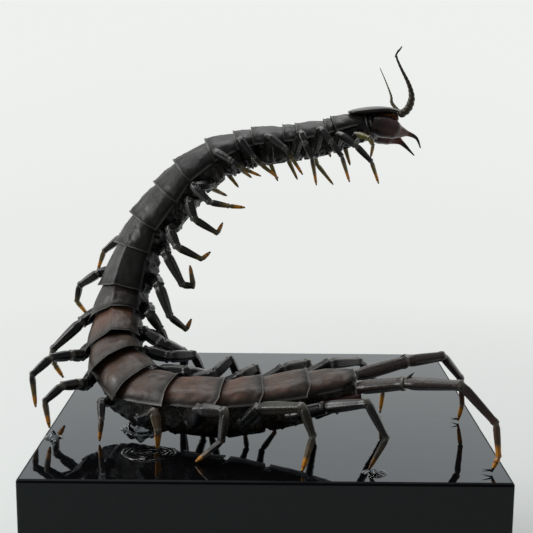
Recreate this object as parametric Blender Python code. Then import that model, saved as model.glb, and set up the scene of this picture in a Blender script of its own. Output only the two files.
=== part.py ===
"""Dried giant centipede rearing up from a square block of black cast resin.

The tail end lies along the front of the block. At the left the body bends up,
twists so that its back faces left, and arches over to the right with the head
in the air. Dabs of clear resin hold it to the top of the block.

Lengths are in metres. Pose points are in millimetres from the middle of the
block's top face: x to the right, y to the back, z up.
"""

import math

import bmesh
import bpy
from mathutils import Vector

MM = 0.001
GAP = 0.3 * MM

BLOCK_SIDE = 120 * MM
BLOCK_HEIGHT = 60 * MM
BLOCK_EDGE = 0.8 * MM

TRUNK_HEIGHT_SHARE = 0.70
HIP_ALONG = 0.6
HIP_DROP = 0.48
COXA_LENGTH = 1.6 * MM

# Half outline of a trunk segment as shares of its half width and half height,
# from the middle of the back plate round to the middle of the belly plate.
BACK_PLATE = [(0.0, 1.0), (0.45, 0.95), (0.80, 0.74), (1.0, 0.34)]
FLANK = [(0.84, 0.14), (0.82, -0.84)]
BELLY_PLATE = [(0.50, -1.18), (0.0, -1.22)]
FLANK_SHARE = 0.83

# Places along a segment where the trunk has an outline, and how far the back
# plate is drawn in there, so that each rear edge stands above the next plate.
PLATE_STEPS = [(0.03, 0.94), (0.5, 0.98), (1.0, 1.0)]

# Joints of the trunk from the neck to the tail: centre of the body, the way
# its back faces, and its width. Segment n lies between joints n - 1 and n.
TRUNK_JOINTS = [
    ((29.0, 11.0, 82.9), (-0.20, -0.15, 1.00), 9.5),
    ((20.5, 11.0, 80.5), (-0.20, -0.15, 1.00), 12.5),
    ((18.0, 11.0, 79.7), (-0.20, -0.15, 1.00), 12.5),
    ((9.5, 11.0, 78.0), (-0.15, -0.20, 1.00), 13.0),
    ((5.5, 11.0, 77.5), (-0.15, -0.20, 1.00), 13.0),
    ((-3.5, 11.0, 76.5), (-0.20, -0.20, 1.00), 13.5),
    ((-8.0, 11.0, 75.5), (-0.30, -0.25, 1.00), 13.5),
    ((-15.2, 11.0, 73.0), (-0.45, -0.38, 0.90), 14.5),
    ((-23.2, 11.0, 67.4), (-0.65, -0.45, 0.75), 15.5),
    ((-28.2, 10.5, 61.6), (-0.75, -0.55, 0.60), 16.0),
    ((-35.0, 10.0, 53.2), (-0.75, -0.60, 0.50), 16.0),
    ((-38.8, 8.5, 45.8), (-0.70, -0.75, 0.35), 16.0),
    ((-42.6, 5.5, 34.0), (-0.55, -0.80, 0.30), 16.0),
    ((-44.0, 0.5, 26.5), (-0.40, -0.78, 0.60), 15.5),
    ((-43.5, -8.5, 20.0), (-0.30, -0.60, 0.80), 15.5),
    ((-41.5, -17.0, 16.5), (-0.35, -0.35, 0.85), 16.0),
    ((-34.5, -27.5, 12.8), (-0.15, -0.35, 0.92), 15.5),
    ((-25.0, -32.5, 12.3), (0.0, -0.25, 0.95), 14.5),
    ((-11.5, -36.0, 12.3), (0.0, -0.20, 1.00), 14.5),
    ((-1.0, -36.5, 13.7), (0.0, -0.20, 1.00), 14.0),
    ((10.5, -36.0, 15.5), (-0.05, -0.20, 1.00), 13.5),
    ((22.5, -35.0, 17.0), (-0.10, -0.20, 1.00), 10.5),
]

# How much further the underside hangs down at some joints, as a share.
BELLY_DROPS = {15: 0.10, 16: 0.18, 17: 0.40, 18: 0.45, 19: 0.42, 20: 0.30, 21: 0.10}

# Cross-sections of the head from its back edge forward: x, half width, z of
# the top and of the underside. Behind the neck only the thin plate is left.
HEAD_MIDDLE_Y = 11.0
HEAD_SECTIONS = [
    (23.5, 2.4, 87.1, 86.6),
    (25.0, 4.2, 87.5, 86.6),
    (28.0, 5.2, 87.9, 86.6),
    (31.0, 5.3, 88.1, 86.2),
    (34.0, 5.0, 88.0, 85.4),
    (37.0, 3.8, 87.4, 84.6),
    (38.4, 2.0, 86.9, 84.4),
]
HEAD_SIDES = 12

# Walking legs: the points that each passes through after its hip, ending at
# the claw. The radius is that of the leg's thickest article.
RIGHT_LEGS = {
    1: (0.9, [(25.5, 3.5, 80.0), (29.0, 1.5, 79.0), (30.0, 1.0, 77.0), (29.5, 2.0, 73.5)]),
    2: (1.3, [(20.5, 2.0, 80.0), (25.0, 0.0, 77.0), (29.5, 0.0, 72.5), (32.0, 2.0, 66.0)]),
    3: (1.3, [(15.0, 1.5, 81.5), (18.0, -0.5, 78.0), (21.0, -0.5, 74.0), (23.5, 1.0, 66.5)]),
    4: (1.3, [(9.5, 1.0, 80.5), (10.5, -1.0, 77.5), (12.5, -1.0, 73.5), (14.0, 1.0, 65.5)]),
    5: (1.3, [(0.0, 1.0, 79.5), (5.0, -1.0, 76.0), (7.0, -0.5, 73.0), (10.0, 1.0, 68.5)]),
    6: (1.3, [(-8.0, 1.0, 78.5), (-4.0, -1.0, 73.5), (-2.0, -1.0, 71.5), (3.0, 1.0, 67.5)]),
    7: (1.3, [(-15.0, 1.5, 75.0), (-10.5, -1.0, 72.5), (-7.5, -1.0, 70.5), (-2.0, 1.0, 68.0)]),
    8: (1.4, [(-21.5, 2.0, 64.8), (-16.5, -1.0, 60.5), (-11.0, -1.0, 59.5), (-6.5, 0.0, 59.0)]),
    9: (1.5, [(-23.0, 2.5, 60.5), (-21.0, 0.0, 55.5), (-14.5, 0.0, 51.5), (-13.0, 1.0, 54.5)]),
    10: (1.6, [(-28.5, 2.0, 52.0), (-26.0, -1.0, 47.5), (-19.0, -1.0, 44.0), (-16.5, 0.0, 46.0)]),
    11: (1.6, [(-29.5, 1.0, 45.0), (-24.5, -2.0, 36.5), (-21.5, -1.0, 36.0), (-22.5, 0.0, 42.0)]),
    12: (1.7, [(-31.5, -1.0, 36.0), (-28.0, -4.0, 27.5), (-23.5, -3.0, 23.5), (-22.0, -2.0, 26.5)]),
    13: (1.7, [(-34.0, -3.0, 28.0), (-31.0, -3.0, 23.5), (-29.5, -1.0, 19.5), (-30.0, 1.0, 15.5)]),
    14: (2.0, [(-30.0, -8.0, 20.5), (-24.0, -3.0, 16.5), (-25.0, 1.0, 8.0), (-28.0, 3.0, 0.5)]),
    15: (1.9, [(-27.5, -13.0, 18.0), (-21.0, -7.0, 17.0), (-18.5, -3.0, 10.0), (-20.0, 1.0, 0.5)]),
    16: (1.9, [(-21.5, -21.0, 16.0), (-14.0, -12.0, 12.0), (-16.0, -11.0, 5.0), (-20.0, -12.0, 0.5)]),
    17: (1.8, [(-14.0, -25.0, 16.5), (-9.8, -20.0, 19.3), (-5.3, -18.0, 7.0), (-6.1, -17.6, 0.5)]),
    18: (1.7, [(-7.0, -27.0, 16.5), (-2.8, -22.0, 17.5), (-1.0, -18.0, 7.5), (2.6, -15.2, 3.2), (1.7, -14.2, 0.5)]),
    19: (1.7, [(4.5, -26.5, 18.5), (11.5, -20.0, 18.5), (14.0, -12.5, 8.0), (11.3, -8.8, 0.5)]),
    20: (1.7, [(17.0, -26.0, 20.0), (26.0, -18.0, 18.5), (33.5, -10.0, 7.5), (33.0, -8.5, 0.5)]),
}
LEFT_LEGS = {
    1: (0.9, [(24.5, 19.0, 79.0), (27.0, 20.0, 76.5), (27.5, 19.0, 74.0)]),
    2: (1.3, [(20.5, 20.0, 79.0), (23.0, 20.5, 76.5), (25.0, 19.0, 70.0)]),
    3: (1.3, [(15.5, 20.5, 78.0), (18.0, 21.0, 75.0), (19.0, 18.5, 72.5)]),
    4: (1.3, [(9.5, 21.0, 77.5), (13.5, 21.5, 73.5), (15.0, 21.0, 70.0), (20.0, 19.0, 64.0)]),
    5: (1.3, [(2.0, 21.0, 76.5), (6.0, 21.5, 71.5), (9.0, 19.0, 65.5)]),
    6: (1.3, [(-3.5, 21.0, 75.5), (0.5, 21.5, 70.5), (3.0, 19.0, 65.0)]),
    7: (1.3, [(-11.0, 21.0, 72.5), (-8.5, 21.5, 68.5), (-5.0, 19.0, 66.0)]),
    8: (1.4, [(-18.0, 21.5, 68.5), (-12.5, 21.5, 67.0), (-9.0, 19.0, 63.0)]),
    9: (1.5, [(-24.0, 21.5, 64.5), (-17.5, 21.5, 62.5), (-12.5, 18.0, 60.5)]),
    10: (1.6, [(-33.0, 22.0, 55.0), (-33.0, 23.5, 50.0), (-32.0, 21.0, 45.0)]),
    11: (1.6, [(-45.0, 17.0, 47.5), (-50.5, 18.0, 43.0), (-52.5, 18.0, 37.0)]),
    12: (1.7, [(-51.5, 13.0, 37.0), (-57.5, 14.0, 33.0), (-58.5, 14.0, 28.0), (-55.0, 13.0, 24.0)]),
    13: (2.0, [(-55.0, 2.5, 24.0), (-63.5, 1.0, 16.0), (-63.0, 1.0, 11.5), (-60.5, 1.0, 7.5)]),
    14: (1.9, [
        (-53.0, -8.5, 17.0), (-55.5, -12.0, 18.0), (-60.5, -15.0, 18.0),
        (-65.5, -17.0, 13.5), (-64.5, -18.0, 4.5),
    ]),
    15: (1.9, [
        (-50.0, -19.0, 11.5), (-51.5, -23.5, 13.0), (-55.0, -27.0, 13.5),
        (-59.5, -28.5, 9.5), (-58.0, -30.3, 2.7),
    ]),
    16: (1.4, [(-43.5, -33.0, 11.0), (-43.0, -36.0, 7.0), (-44.0, -34.0, 0.5)]),
    17: (1.4, [(-28.5, -41.5, 11.0), (-27.5, -42.5, 6.5), (-28.0, -39.5, 1.5)]),
    18: (1.9, [(-16.5, -46.5, 13.5), (-10.0, -50.0, 14.0), (-11.0, -50.0, 6.5), (-17.5, -48.5, 0.5)]),
    19: (1.9, [(-1.5, -47.0, 14.0), (9.0, -55.0, 17.0), (11.5, -57.0, 10.5), (9.0, -54.5, 0.5)]),
    20: (1.8, [(15.0, -44.5, 13.8), (25.0, -51.0, 17.0), (29.5, -54.0, 9.0), (24.5, -52.5, 1.5)]),
}

# How far before and after each knee the limb starts to turn.
LEG_BEND = 0.9 * MM
TAIL_LEG_BEND = 1.2 * MM
FORCIPULE_BEND = 1.5 * MM
ANTENNA_BEND = 1.0 * MM
LONGEST_BEND_SHARE = 0.35

# Share of the thickest radius along a leg, from hip (0) to claw tip (1).
LEG_TAPER = [(0.0, 1.0), (0.3, 0.9), (0.55, 0.65), (0.8, 0.4), (0.94, 0.28), (1.0, 0.12)]

# The long last legs point backward from the tail: radius and route of each.
TAIL_LEGS = {
    "right_leg_21": (1.9, [
        (23.8, -31.8, 18.4), (37.5, -27.0, 21.0), (48.0, -23.0, 21.5),
        (54.0, -19.0, 14.0), (55.0, -17.0, 6.0), (54.5, -14.5, 0.5),
    ]),
    "left_leg_21": (1.9, [
        (23.8, -38.2, 17.0), (35.0, -44.0, 20.0), (48.0, -50.5, 21.5),
        (56.0, -54.0, 13.0), (57.0, -54.0, 4.5), (55.5, -53.5, 0.5),
    ]),
}

# The fangs, from beside the first segment round under the head to their points.
FORCIPULE_RADIUS = 2.9
FORCIPULES = {
    "right_forcipule": [
        (30.3, 7.7, 82.9), (35.6, 7.4, 81.6), (38.0, 7.9, 80.8), (41.2, 8.8, 80.0), (43.6, 9.4, 78.7),
        (44.9, 9.8, 75.9),
    ],
    "left_forcipule": [(30.9, 14.4, 80.8), (36.5, 14.6, 79.0), (40.0, 14.0, 77.0), (43.5, 12.5, 73.5)],
}
FORCIPULE_TAPER = [(0.0, 0.84), (0.2, 0.97), (0.4, 0.95), (0.5, 0.6), (0.66, 0.27), (0.84, 0.15), (1.0, 0.06)]

# The feelers, from the front of the head to their tips.
ANTENNA_RADIUS = 1.1
ANTENNAE = {
    "right_antenna": [
        (38.9, 7.6, 86.0), (40.4, 7.2, 87.2), (41.2, 6.3, 89.5), (41.2, 6.0, 91.5), (40.2, 5.5, 94.5),
        (37.5, 5.0, 99.5), (36.4, 5.0, 102.4), (37.3, 5.0, 104.0),
    ],
    "left_antenna": [
        (38.6, 14.8, 86.6), (36.8, 15.5, 88.8), (36.5, 16.0, 91.0), (35.0, 17.0, 95.0), (33.5, 18.0, 98.5),
    ],
}
ANTENNA_TAPER = [(0.0, 1.0), (0.2, 0.9), (0.4, 0.55), (0.65, 0.35), (1.0, 0.2)]

# Clear resin dabs: centre on the block, radius, height, share of the radius at the top.
RESIN_DABS = {
    "resin_leg_15": ((-57.0, -30.5), 2.2, 1.9, 0.25),
    "resin_leg_17": ((-30.2, -41.6), 5.0, 0.9, 0.55),
    "resin_leg_20": ((26.8, -54.0), 3.1, 0.9, 0.50),
    "resin_under_trunk": ((-34.5, -24.0), 5.0, 4.2, 0.60),
}
DAB_SIDES = 20
DAB_UNEVENNESS = 0.05
DAB_WAVES = 3

SHARP_ANGLE = math.radians(40)

COLOURS = {
    "block": ((0.012, 0.012, 0.014), 0.08),
    "plate": ((0.035, 0.028, 0.026), 0.35),
    "leg": ((0.030, 0.028, 0.024), 0.35),
    "forcipule": ((0.110, 0.030, 0.022), 0.30),
    "antenna": ((0.025, 0.020, 0.018), 0.45),
    "resin": ((0.80, 0.82, 0.80), 0.05),
}


def clear_scene():
    """Remove every object that the open file holds."""
    for obj in list(bpy.data.objects):
        bpy.data.objects.remove(obj, do_unlink=True)


def on_block(point):
    """World place of a point in millimetres from the middle of the block's top."""
    x, y, z = point
    return Vector((x * MM, y * MM, BLOCK_HEIGHT + z * MM))


def finish_object(name, data, finish):
    """Link an object with a material of its own and return it."""
    colour, roughness = COLOURS[finish]
    material = bpy.data.materials.new(name)
    material.use_nodes = True
    shader = material.node_tree.nodes["Principled BSDF"]
    shader.inputs["Base Color"].default_value = (*colour, 1.0)
    shader.inputs["Roughness"].default_value = roughness
    shader.inputs["Metallic"].default_value = 0.0
    if finish == "resin":
        shader.inputs["Transmission Weight"].default_value = 1.0
    data.materials.append(material)
    obj = bpy.data.objects.new(name, data)
    bpy.context.scene.collection.objects.link(obj)
    return obj


def loft(name, rings, finish):
    """Join closed rings of points, in order, into one solid with flat ends."""
    bm = bmesh.new()
    loops = [[bm.verts.new(point) for point in ring] for ring in rings]
    count = len(rings[0])
    for near, far in zip(loops, loops[1:]):
        for i in range(count):
            j = (i + 1) % count
            bm.faces.new((near[i], near[j], far[j], far[i]))
    bm.faces.new(loops[0][::-1])
    bm.faces.new(loops[-1])
    bmesh.ops.recalc_face_normals(bm, faces=bm.faces)
    mesh = bpy.data.meshes.new(name)
    bm.to_mesh(mesh)
    bm.free()
    mesh.shade_smooth()
    mesh.set_sharp_from_angle(angle=SHARP_ANGLE)
    return finish_object(name, mesh, finish)


def taper_at(taper, share):
    """Value of a piecewise straight taper at a share of the length."""
    for (s0, v0), (s1, v1) in zip(taper, taper[1:]):
        if share <= s1:
            return v0 + (v1 - v0) * (share - s0) / (s1 - s0)
    return taper[-1][1]


def round_corners(points, bend):
    """Replace each inner corner of a route by two points that cut it short."""
    route = [points[0]]
    for before, corner, after in zip(points, points[1:], points[2:]):
        for neighbour in (before, after):
            arm = neighbour - corner
            route.append(corner + arm.normalized() * min(bend, LONGEST_BEND_SHARE * arm.length))
    route.append(points[-1])
    return route


def limb(name, points, radius, taper, finish, bend):
    """A tapering round limb along a route, as a bevelled curve with closed ends."""
    route = round_corners(points, bend)
    lengths = [0.0]
    for a, b in zip(route, route[1:]):
        lengths.append(lengths[-1] + (b - a).length)
    curve = bpy.data.curves.new(name, "CURVE")
    curve.dimensions = "3D"
    curve.bevel_depth = radius
    curve.bevel_resolution = 1
    curve.use_fill_caps = True
    spline = curve.splines.new("POLY")
    spline.points.add(len(route) - 1)
    for point, place, length in zip(spline.points, route, lengths):
        point.co = (*place, 1.0)
        point.radius = taper_at(taper, length / lengths[-1])
    return finish_object(name, curve, finish)


def trunk_frames():
    """Centre, right and dorsal directions, half sizes and belly drop at each trunk joint."""
    centres = [on_block(centre) for centre, _, _ in TRUNK_JOINTS]
    frames = []
    for i, (_, back, width) in enumerate(TRUNK_JOINTS):
        ahead = centres[max(i - 1, 0)]
        behind = centres[min(i + 1, len(centres) - 1)]
        tailward = (behind - ahead).normalized()
        dorsal = Vector(back)
        dorsal = (dorsal - tailward * dorsal.dot(tailward)).normalized()
        right = dorsal.cross(tailward).normalized()
        half_width = 0.5 * width * MM
        drop = BELLY_DROPS.get(i, 0.0)
        frames.append((centres[i], right, dorsal, half_width, half_width * TRUNK_HEIGHT_SHARE, drop))
    return frames


def frame_between(frames, segment, along):
    """Frame inside a trunk segment, at a share of its length from the front."""
    front = frames[segment - 1]
    rear = frames[segment]
    centre = front[0].lerp(rear[0], along)
    right = front[1].lerp(rear[1], along).normalized()
    dorsal = front[2].lerp(rear[2], along).normalized()
    half_width = front[3] + (rear[3] - front[3]) * along
    half_height = front[4] + (rear[4] - front[4]) * along
    drop = front[5] + (rear[5] - front[5]) * along
    return centre, right, dorsal, half_width, half_height, drop


def trunk_ring(frame, plate_scale):
    """Outline of the trunk in a frame, with the back plate drawn in by a scale."""
    centre, right, dorsal, half_width, half_height, drop = frame
    plate = [(u * plate_scale, v * plate_scale) for u, v in BACK_PLATE]
    under = [(u, v * (1.0 + drop) if v < 0 else v) for u, v in FLANK + BELLY_PLATE]
    half = plate + under
    outline = half + [(-u, v) for u, v in reversed(half[1:-1])]
    return [centre + right * (u * half_width) + dorsal * (v * half_height) for u, v in outline]


def build_trunk(frames):
    """One solid trunk whose back plates overlap backward like roof tiles."""
    rings = []
    for segment in range(1, len(frames)):
        for along, plate_scale in PLATE_STEPS:
            rings.append(trunk_ring(frame_between(frames, segment, along), plate_scale))
    return loft("trunk", rings, "plate")


def build_head():
    """The flat head plate with the head capsule under its front part."""
    rings = []
    for x, half_width, top, under in HEAD_SECTIONS:
        ring = []
        for i in range(HEAD_SIDES):
            angle = 2 * math.pi * i / HEAD_SIDES
            y = HEAD_MIDDLE_Y + half_width * math.cos(angle)
            z = 0.5 * (top + under) + 0.5 * (top - under) * math.sin(angle)
            ring.append(on_block((x, y, z)))
        rings.append(ring)
    return loft("head", rings, "plate")


def hip_points(frames, segment, side):
    """Start of a leg just clear of the flank, and the end of its short coxa."""
    centre, right, dorsal, half_width, half_height, _ = frame_between(frames, segment, HIP_ALONG)
    outward = right * side
    hip = centre + outward * (FLANK_SHARE * half_width + GAP) - dorsal * (HIP_DROP * half_height)
    return [hip, hip + outward * COXA_LENGTH]


def build_legs(frames, side_name, side, poses):
    """All walking legs of one side."""
    for segment, (radius, points) in poses.items():
        route = hip_points(frames, segment, side) + [on_block(point) for point in points]
        limb(f"{side_name}_leg_{segment:02d}", route, radius * MM, LEG_TAPER, "leg", LEG_BEND)


def build_free_limbs():
    """The long last legs, the fangs and the feelers."""
    for name, (radius, points) in TAIL_LEGS.items():
        route = [on_block(point) for point in points]
        limb(name, route, radius * MM, LEG_TAPER, "leg", TAIL_LEG_BEND)
    for name, points in FORCIPULES.items():
        route = [on_block(point) for point in points]
        limb(name, route, FORCIPULE_RADIUS * MM, FORCIPULE_TAPER, "forcipule", FORCIPULE_BEND)
    for name, points in ANTENNAE.items():
        route = [on_block(point) for point in points]
        limb(name, route, ANTENNA_RADIUS * MM, ANTENNA_TAPER, "antenna", ANTENNA_BEND)


def build_block():
    """The square block with a fine bevel all round."""
    bpy.ops.mesh.primitive_cube_add(size=1.0, location=(0, 0, BLOCK_HEIGHT / 2))
    obj = bpy.context.active_object
    mesh = obj.data
    bpy.data.objects.remove(obj, do_unlink=True)
    for vertex in mesh.vertices:
        vertex.co.x *= BLOCK_SIDE
        vertex.co.y *= BLOCK_SIDE
        vertex.co.z *= BLOCK_HEIGHT
    block = finish_object("block", mesh, "block")
    block.location = (0, 0, BLOCK_HEIGHT / 2)
    bevel = block.modifiers.new("edge", "BEVEL")
    bevel.width = BLOCK_EDGE
    bevel.segments = 2
    return block


def build_dab(name, centre, radius, height, top_share):
    """A low lump of clear resin with a round shoulder, standing on the block."""
    profile = [(1.0, 0.0), (0.97, 0.25), (0.5 + 0.5 * top_share, 0.75), (top_share, 1.0)]
    rings = []
    for share, level in profile:
        ring = []
        for i in range(DAB_SIDES):
            angle = 2 * math.pi * i / DAB_SIDES
            reach = radius * share * (1.0 + DAB_UNEVENNESS * math.sin(DAB_WAVES * angle))
            x = centre[0] + reach * math.cos(angle)
            y = centre[1] + reach * math.sin(angle)
            ring.append(on_block((x, y, GAP / MM + level * height)))
        rings.append(ring)
    return loft(name, rings, "resin")


def main():
    """Build every piece of the mounted centipede."""
    clear_scene()
    frames = trunk_frames()
    build_block()
    build_trunk(frames)
    build_head()
    build_legs(frames, "right", 1.0, RIGHT_LEGS)
    build_legs(frames, "left", -1.0, LEFT_LEGS)
    build_free_limbs()
    for name, (centre, radius, height, top_share) in RESIN_DABS.items():
        build_dab(name, centre, radius, height, top_share)


main()
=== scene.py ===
"""Looks of a dried giant centipede that rears up from a block of black resin.

Lengths are in metres. Pose points are in millimetres from the middle of the
block's top face: x to the right, y to the back, z up. The poses are those of
the solids that the pieces here stand for.
"""

import logging
import math
from dataclasses import dataclass, field
from enum import Enum
from functools import partial
from typing import Any, Callable, Sequence

import bmesh
import bpy
from mathutils import Matrix, Vector, noise


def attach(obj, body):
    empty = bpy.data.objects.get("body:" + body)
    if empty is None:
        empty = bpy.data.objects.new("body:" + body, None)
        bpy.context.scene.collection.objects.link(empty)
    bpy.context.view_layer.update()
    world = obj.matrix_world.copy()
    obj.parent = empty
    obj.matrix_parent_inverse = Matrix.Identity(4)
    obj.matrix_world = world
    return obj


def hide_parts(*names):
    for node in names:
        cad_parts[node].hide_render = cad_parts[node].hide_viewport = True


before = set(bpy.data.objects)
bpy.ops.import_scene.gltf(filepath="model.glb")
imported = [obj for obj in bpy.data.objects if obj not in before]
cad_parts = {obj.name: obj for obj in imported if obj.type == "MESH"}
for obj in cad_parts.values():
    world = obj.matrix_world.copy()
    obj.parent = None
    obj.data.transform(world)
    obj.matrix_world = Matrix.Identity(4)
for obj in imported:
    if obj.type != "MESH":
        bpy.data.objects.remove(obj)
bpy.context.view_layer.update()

log = logging.getLogger("centipede")

Point = tuple[float, float, float]
Colour = tuple[float, float, float]
Socket = bpy.types.NodeSocket
SocketTable = dict[str, tuple[str, Any]]
Values = dict[str, float]
Cell = tuple[tuple[Vector, Values], tuple[Vector, Values]]
Material = bpy.types.Material

MM = 0.001
GAP = 0.3 * MM
BLOCK_HEIGHT = 60 * MM
BODY = "root"
SHARP_DEGREES = 60

TRUNK_HEIGHT_SHARE = 0.70
HIP_ALONG = 0.6
HIP_DROP = 0.48
COXA_LENGTH = 1.6 * MM
FLANK_SHARE = 0.83

# Joints of the trunk from the neck to the tail: centre of the body, the way
# its back faces, and its width. Segment n lies between joints n - 1 and n.
TRUNK_JOINTS: list[tuple[Point, Point, float]] = [
    ((29.0, 11.0, 82.9), (-0.20, -0.15, 1.00), 9.5),
    ((20.5, 11.0, 80.5), (-0.20, -0.15, 1.00), 12.5),
    ((18.0, 11.0, 79.7), (-0.20, -0.15, 1.00), 12.5),
    ((9.5, 11.0, 78.0), (-0.15, -0.20, 1.00), 13.0),
    ((5.5, 11.0, 77.5), (-0.15, -0.20, 1.00), 13.0),
    ((-3.5, 11.0, 76.5), (-0.20, -0.20, 1.00), 13.5),
    ((-8.0, 11.0, 75.5), (-0.30, -0.25, 1.00), 13.5),
    ((-15.2, 11.0, 73.0), (-0.45, -0.38, 0.90), 14.5),
    ((-23.2, 11.0, 67.4), (-0.65, -0.45, 0.75), 15.5),
    ((-28.2, 10.5, 61.6), (-0.75, -0.55, 0.60), 16.0),
    ((-35.0, 10.0, 53.2), (-0.75, -0.60, 0.50), 16.0),
    ((-38.8, 8.5, 45.8), (-0.70, -0.75, 0.35), 16.0),
    ((-42.6, 5.5, 34.0), (-0.55, -0.80, 0.30), 16.0),
    ((-44.0, 0.5, 26.5), (-0.40, -0.78, 0.60), 15.5),
    ((-43.5, -8.5, 20.0), (-0.30, -0.60, 0.80), 15.5),
    ((-41.5, -17.0, 16.5), (-0.35, -0.35, 0.85), 16.0),
    ((-34.5, -27.5, 12.8), (-0.15, -0.35, 0.92), 15.5),
    ((-25.0, -32.5, 12.3), (0.0, -0.25, 0.95), 14.5),
    ((-11.5, -36.0, 12.3), (0.0, -0.20, 1.00), 14.5),
    ((-1.0, -36.5, 13.7), (0.0, -0.20, 1.00), 14.0),
    ((10.5, -36.0, 15.5), (-0.05, -0.20, 1.00), 13.5),
    ((22.5, -35.0, 17.0), (-0.10, -0.20, 1.00), 10.5),
]

# How much further the underside hangs down at some joints, as a share.
BELLY_DROPS = {15: 0.10, 16: 0.18, 17: 0.40, 18: 0.45, 19: 0.42, 20: 0.30, 21: 0.10}

# Brownness and redness of each back plate, from the head to the tail.
PLATE_BROWN = [
    0.05, 0.0, 0.0, 0.0, 0.0, 0.0, 0.0, 0.0, 0.05, 0.08, 0.10,
    0.10, 0.22, 0.90, 0.60, 0.80, 0.65, 0.75, 0.80, 0.75, 0.85,
]
PLATE_RED = [
    0.0, 0.0, 0.0, 0.0, 0.0, 0.0, 0.0, 0.0, 0.0, 0.0, 0.0,
    0.0, 0.05, 0.80, 0.30, 0.50, 0.45, 0.90, 0.70, 0.60, 0.35,
]

# Plates folded like a roof along the middle of the back, and how sharply.
ROOF_PLATES = {10: 0.4, 11: 0.7, 12: 1.7, 13: 0.9, 14: 1.3, 15: 0.4}

# Place of the fold, as a share of the half width, where it isn't in the middle.
FOLD_PLACES = {11: 0.20, 12: 0.34, 13: 0.25, 14: 0.28}

# How far the rear edge of a plate stands out like a collar, as a share of its size.
PLATE_FLARE = {11: 0.06, 12: 0.09, 13: 0.10, 14: 0.12, 15: 0.20, 16: 0.11, 17: 0.10, 18: 0.09, 21: 0.0}
COMMON_FLARE = 0.05

# How far the rear corners are cut back, as a share of the plate's length; less than 0 is drawn out.
CORNER_CUT = {13: -0.04, 14: -0.06, 15: -0.04, 16: 0.04, 17: 0.0, 18: 0.10, 19: 0.12, 20: 0.10, 21: 0.40}
COMMON_CUT = 0.02
TAIL_PLATE = 21
# Plate with a small pale spot that is a painted highlight.
HIGHLIGHT_SPOT_PLATE = 16
TAIL_PLATE_NARROWING = 0.20
FIRST_PLATE_LIFT = 0.10
FIRST_PLATE_START = 0.10

# Segments whose soft underside hangs down onto the resin, and how far.
SAGS = {14: 0.15, 15: 0.35, 16: 0.45, 17: 0.25}

# How far a rear edge reaches over the next plate, in millimetres.
OVERLAPS = {14: 1.3, 15: 3.6, 16: 0.8}
COMMON_OVERLAP = 0.9

RIGHT_LEGS: dict[int, tuple[float, list[Point]]] = {
    1: (1.1, [(25.5, 3.5, 80.0), (29.0, 1.5, 79.0), (30.0, 1.0, 77.0), (29.5, 2.0, 73.5)]),
    2: (1.3, [(20.5, 2.0, 80.0), (25.0, 0.0, 77.0), (29.5, 0.0, 72.5), (32.0, 2.0, 66.0)]),
    3: (1.3, [(15.0, 1.5, 81.5), (18.0, -0.5, 78.0), (21.0, -0.5, 74.0), (23.5, 1.0, 66.5)]),
    4: (1.3, [(9.5, 1.0, 80.5), (10.5, -1.0, 77.5), (12.5, -1.0, 73.5), (14.0, 1.0, 65.5)]),
    5: (1.3, [(0.0, 1.0, 79.5), (5.0, -1.0, 76.0), (7.0, -0.5, 73.0), (10.0, 1.0, 68.5)]),
    6: (1.3, [(-8.0, 1.0, 78.5), (-4.0, -1.0, 73.5), (-2.0, -1.0, 71.5), (3.0, 1.0, 67.5)]),
    7: (1.3, [(-15.0, 1.5, 75.0), (-10.5, -1.0, 72.5), (-7.5, -1.0, 70.5), (-2.0, 1.0, 68.0)]),
    8: (1.4, [(-21.5, 2.0, 64.8), (-16.5, -1.0, 60.5), (-11.0, -1.0, 59.5), (-6.5, 0.0, 59.0)]),
    9: (1.5, [(-23.0, 2.5, 60.5), (-21.0, 0.0, 55.5), (-14.5, 0.0, 51.5), (-13.0, 1.0, 54.5)]),
    10: (1.6, [(-28.5, 2.0, 52.0), (-26.0, -1.0, 47.5), (-19.0, -1.0, 44.0), (-16.5, 0.0, 46.0)]),
    11: (1.6, [(-29.5, 1.0, 45.0), (-24.5, -2.0, 36.5), (-21.5, -1.0, 36.0), (-22.5, 0.0, 42.0)]),
    12: (1.7, [(-31.5, -1.0, 36.0), (-28.0, -4.0, 27.5), (-23.5, -3.0, 23.5), (-22.0, -2.0, 26.5)]),
    13: (1.7, [(-34.0, -3.0, 28.0), (-31.0, -3.0, 23.5), (-29.5, -1.0, 19.5), (-30.0, 1.0, 15.5)]),
    14: (2.0, [(-30.0, -8.0, 20.5), (-24.0, -3.0, 16.5), (-25.0, 1.0, 8.0), (-28.0, 3.0, 0.5)]),
    15: (1.9, [(-27.5, -13.0, 18.0), (-21.0, -7.0, 17.0), (-18.5, -3.0, 10.0), (-20.0, 1.0, 0.5)]),
    16: (1.9, [(-21.5, -21.0, 16.0), (-14.0, -12.0, 12.0), (-16.0, -11.0, 5.0), (-20.0, -12.0, 0.5)]),
    17: (1.8, [(-14.0, -25.0, 16.5), (-9.8, -20.0, 19.3), (-5.3, -18.0, 7.0), (-6.1, -17.6, 0.5)]),
    18: (1.7, [
        (-7.0, -27.0, 16.5), (-2.8, -22.0, 17.5), (-1.0, -18.0, 7.5),
        (2.6, -15.2, 3.2), (1.7, -14.2, 0.5),
    ]),
    19: (1.7, [(4.5, -26.5, 18.5), (11.5, -20.0, 18.5), (14.0, -12.5, 8.0), (11.3, -8.8, 0.5)]),
    20: (1.7, [(17.0, -26.0, 20.0), (26.0, -18.0, 18.5), (33.5, -10.0, 7.5), (33.0, -8.5, 0.5)]),
}
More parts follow.
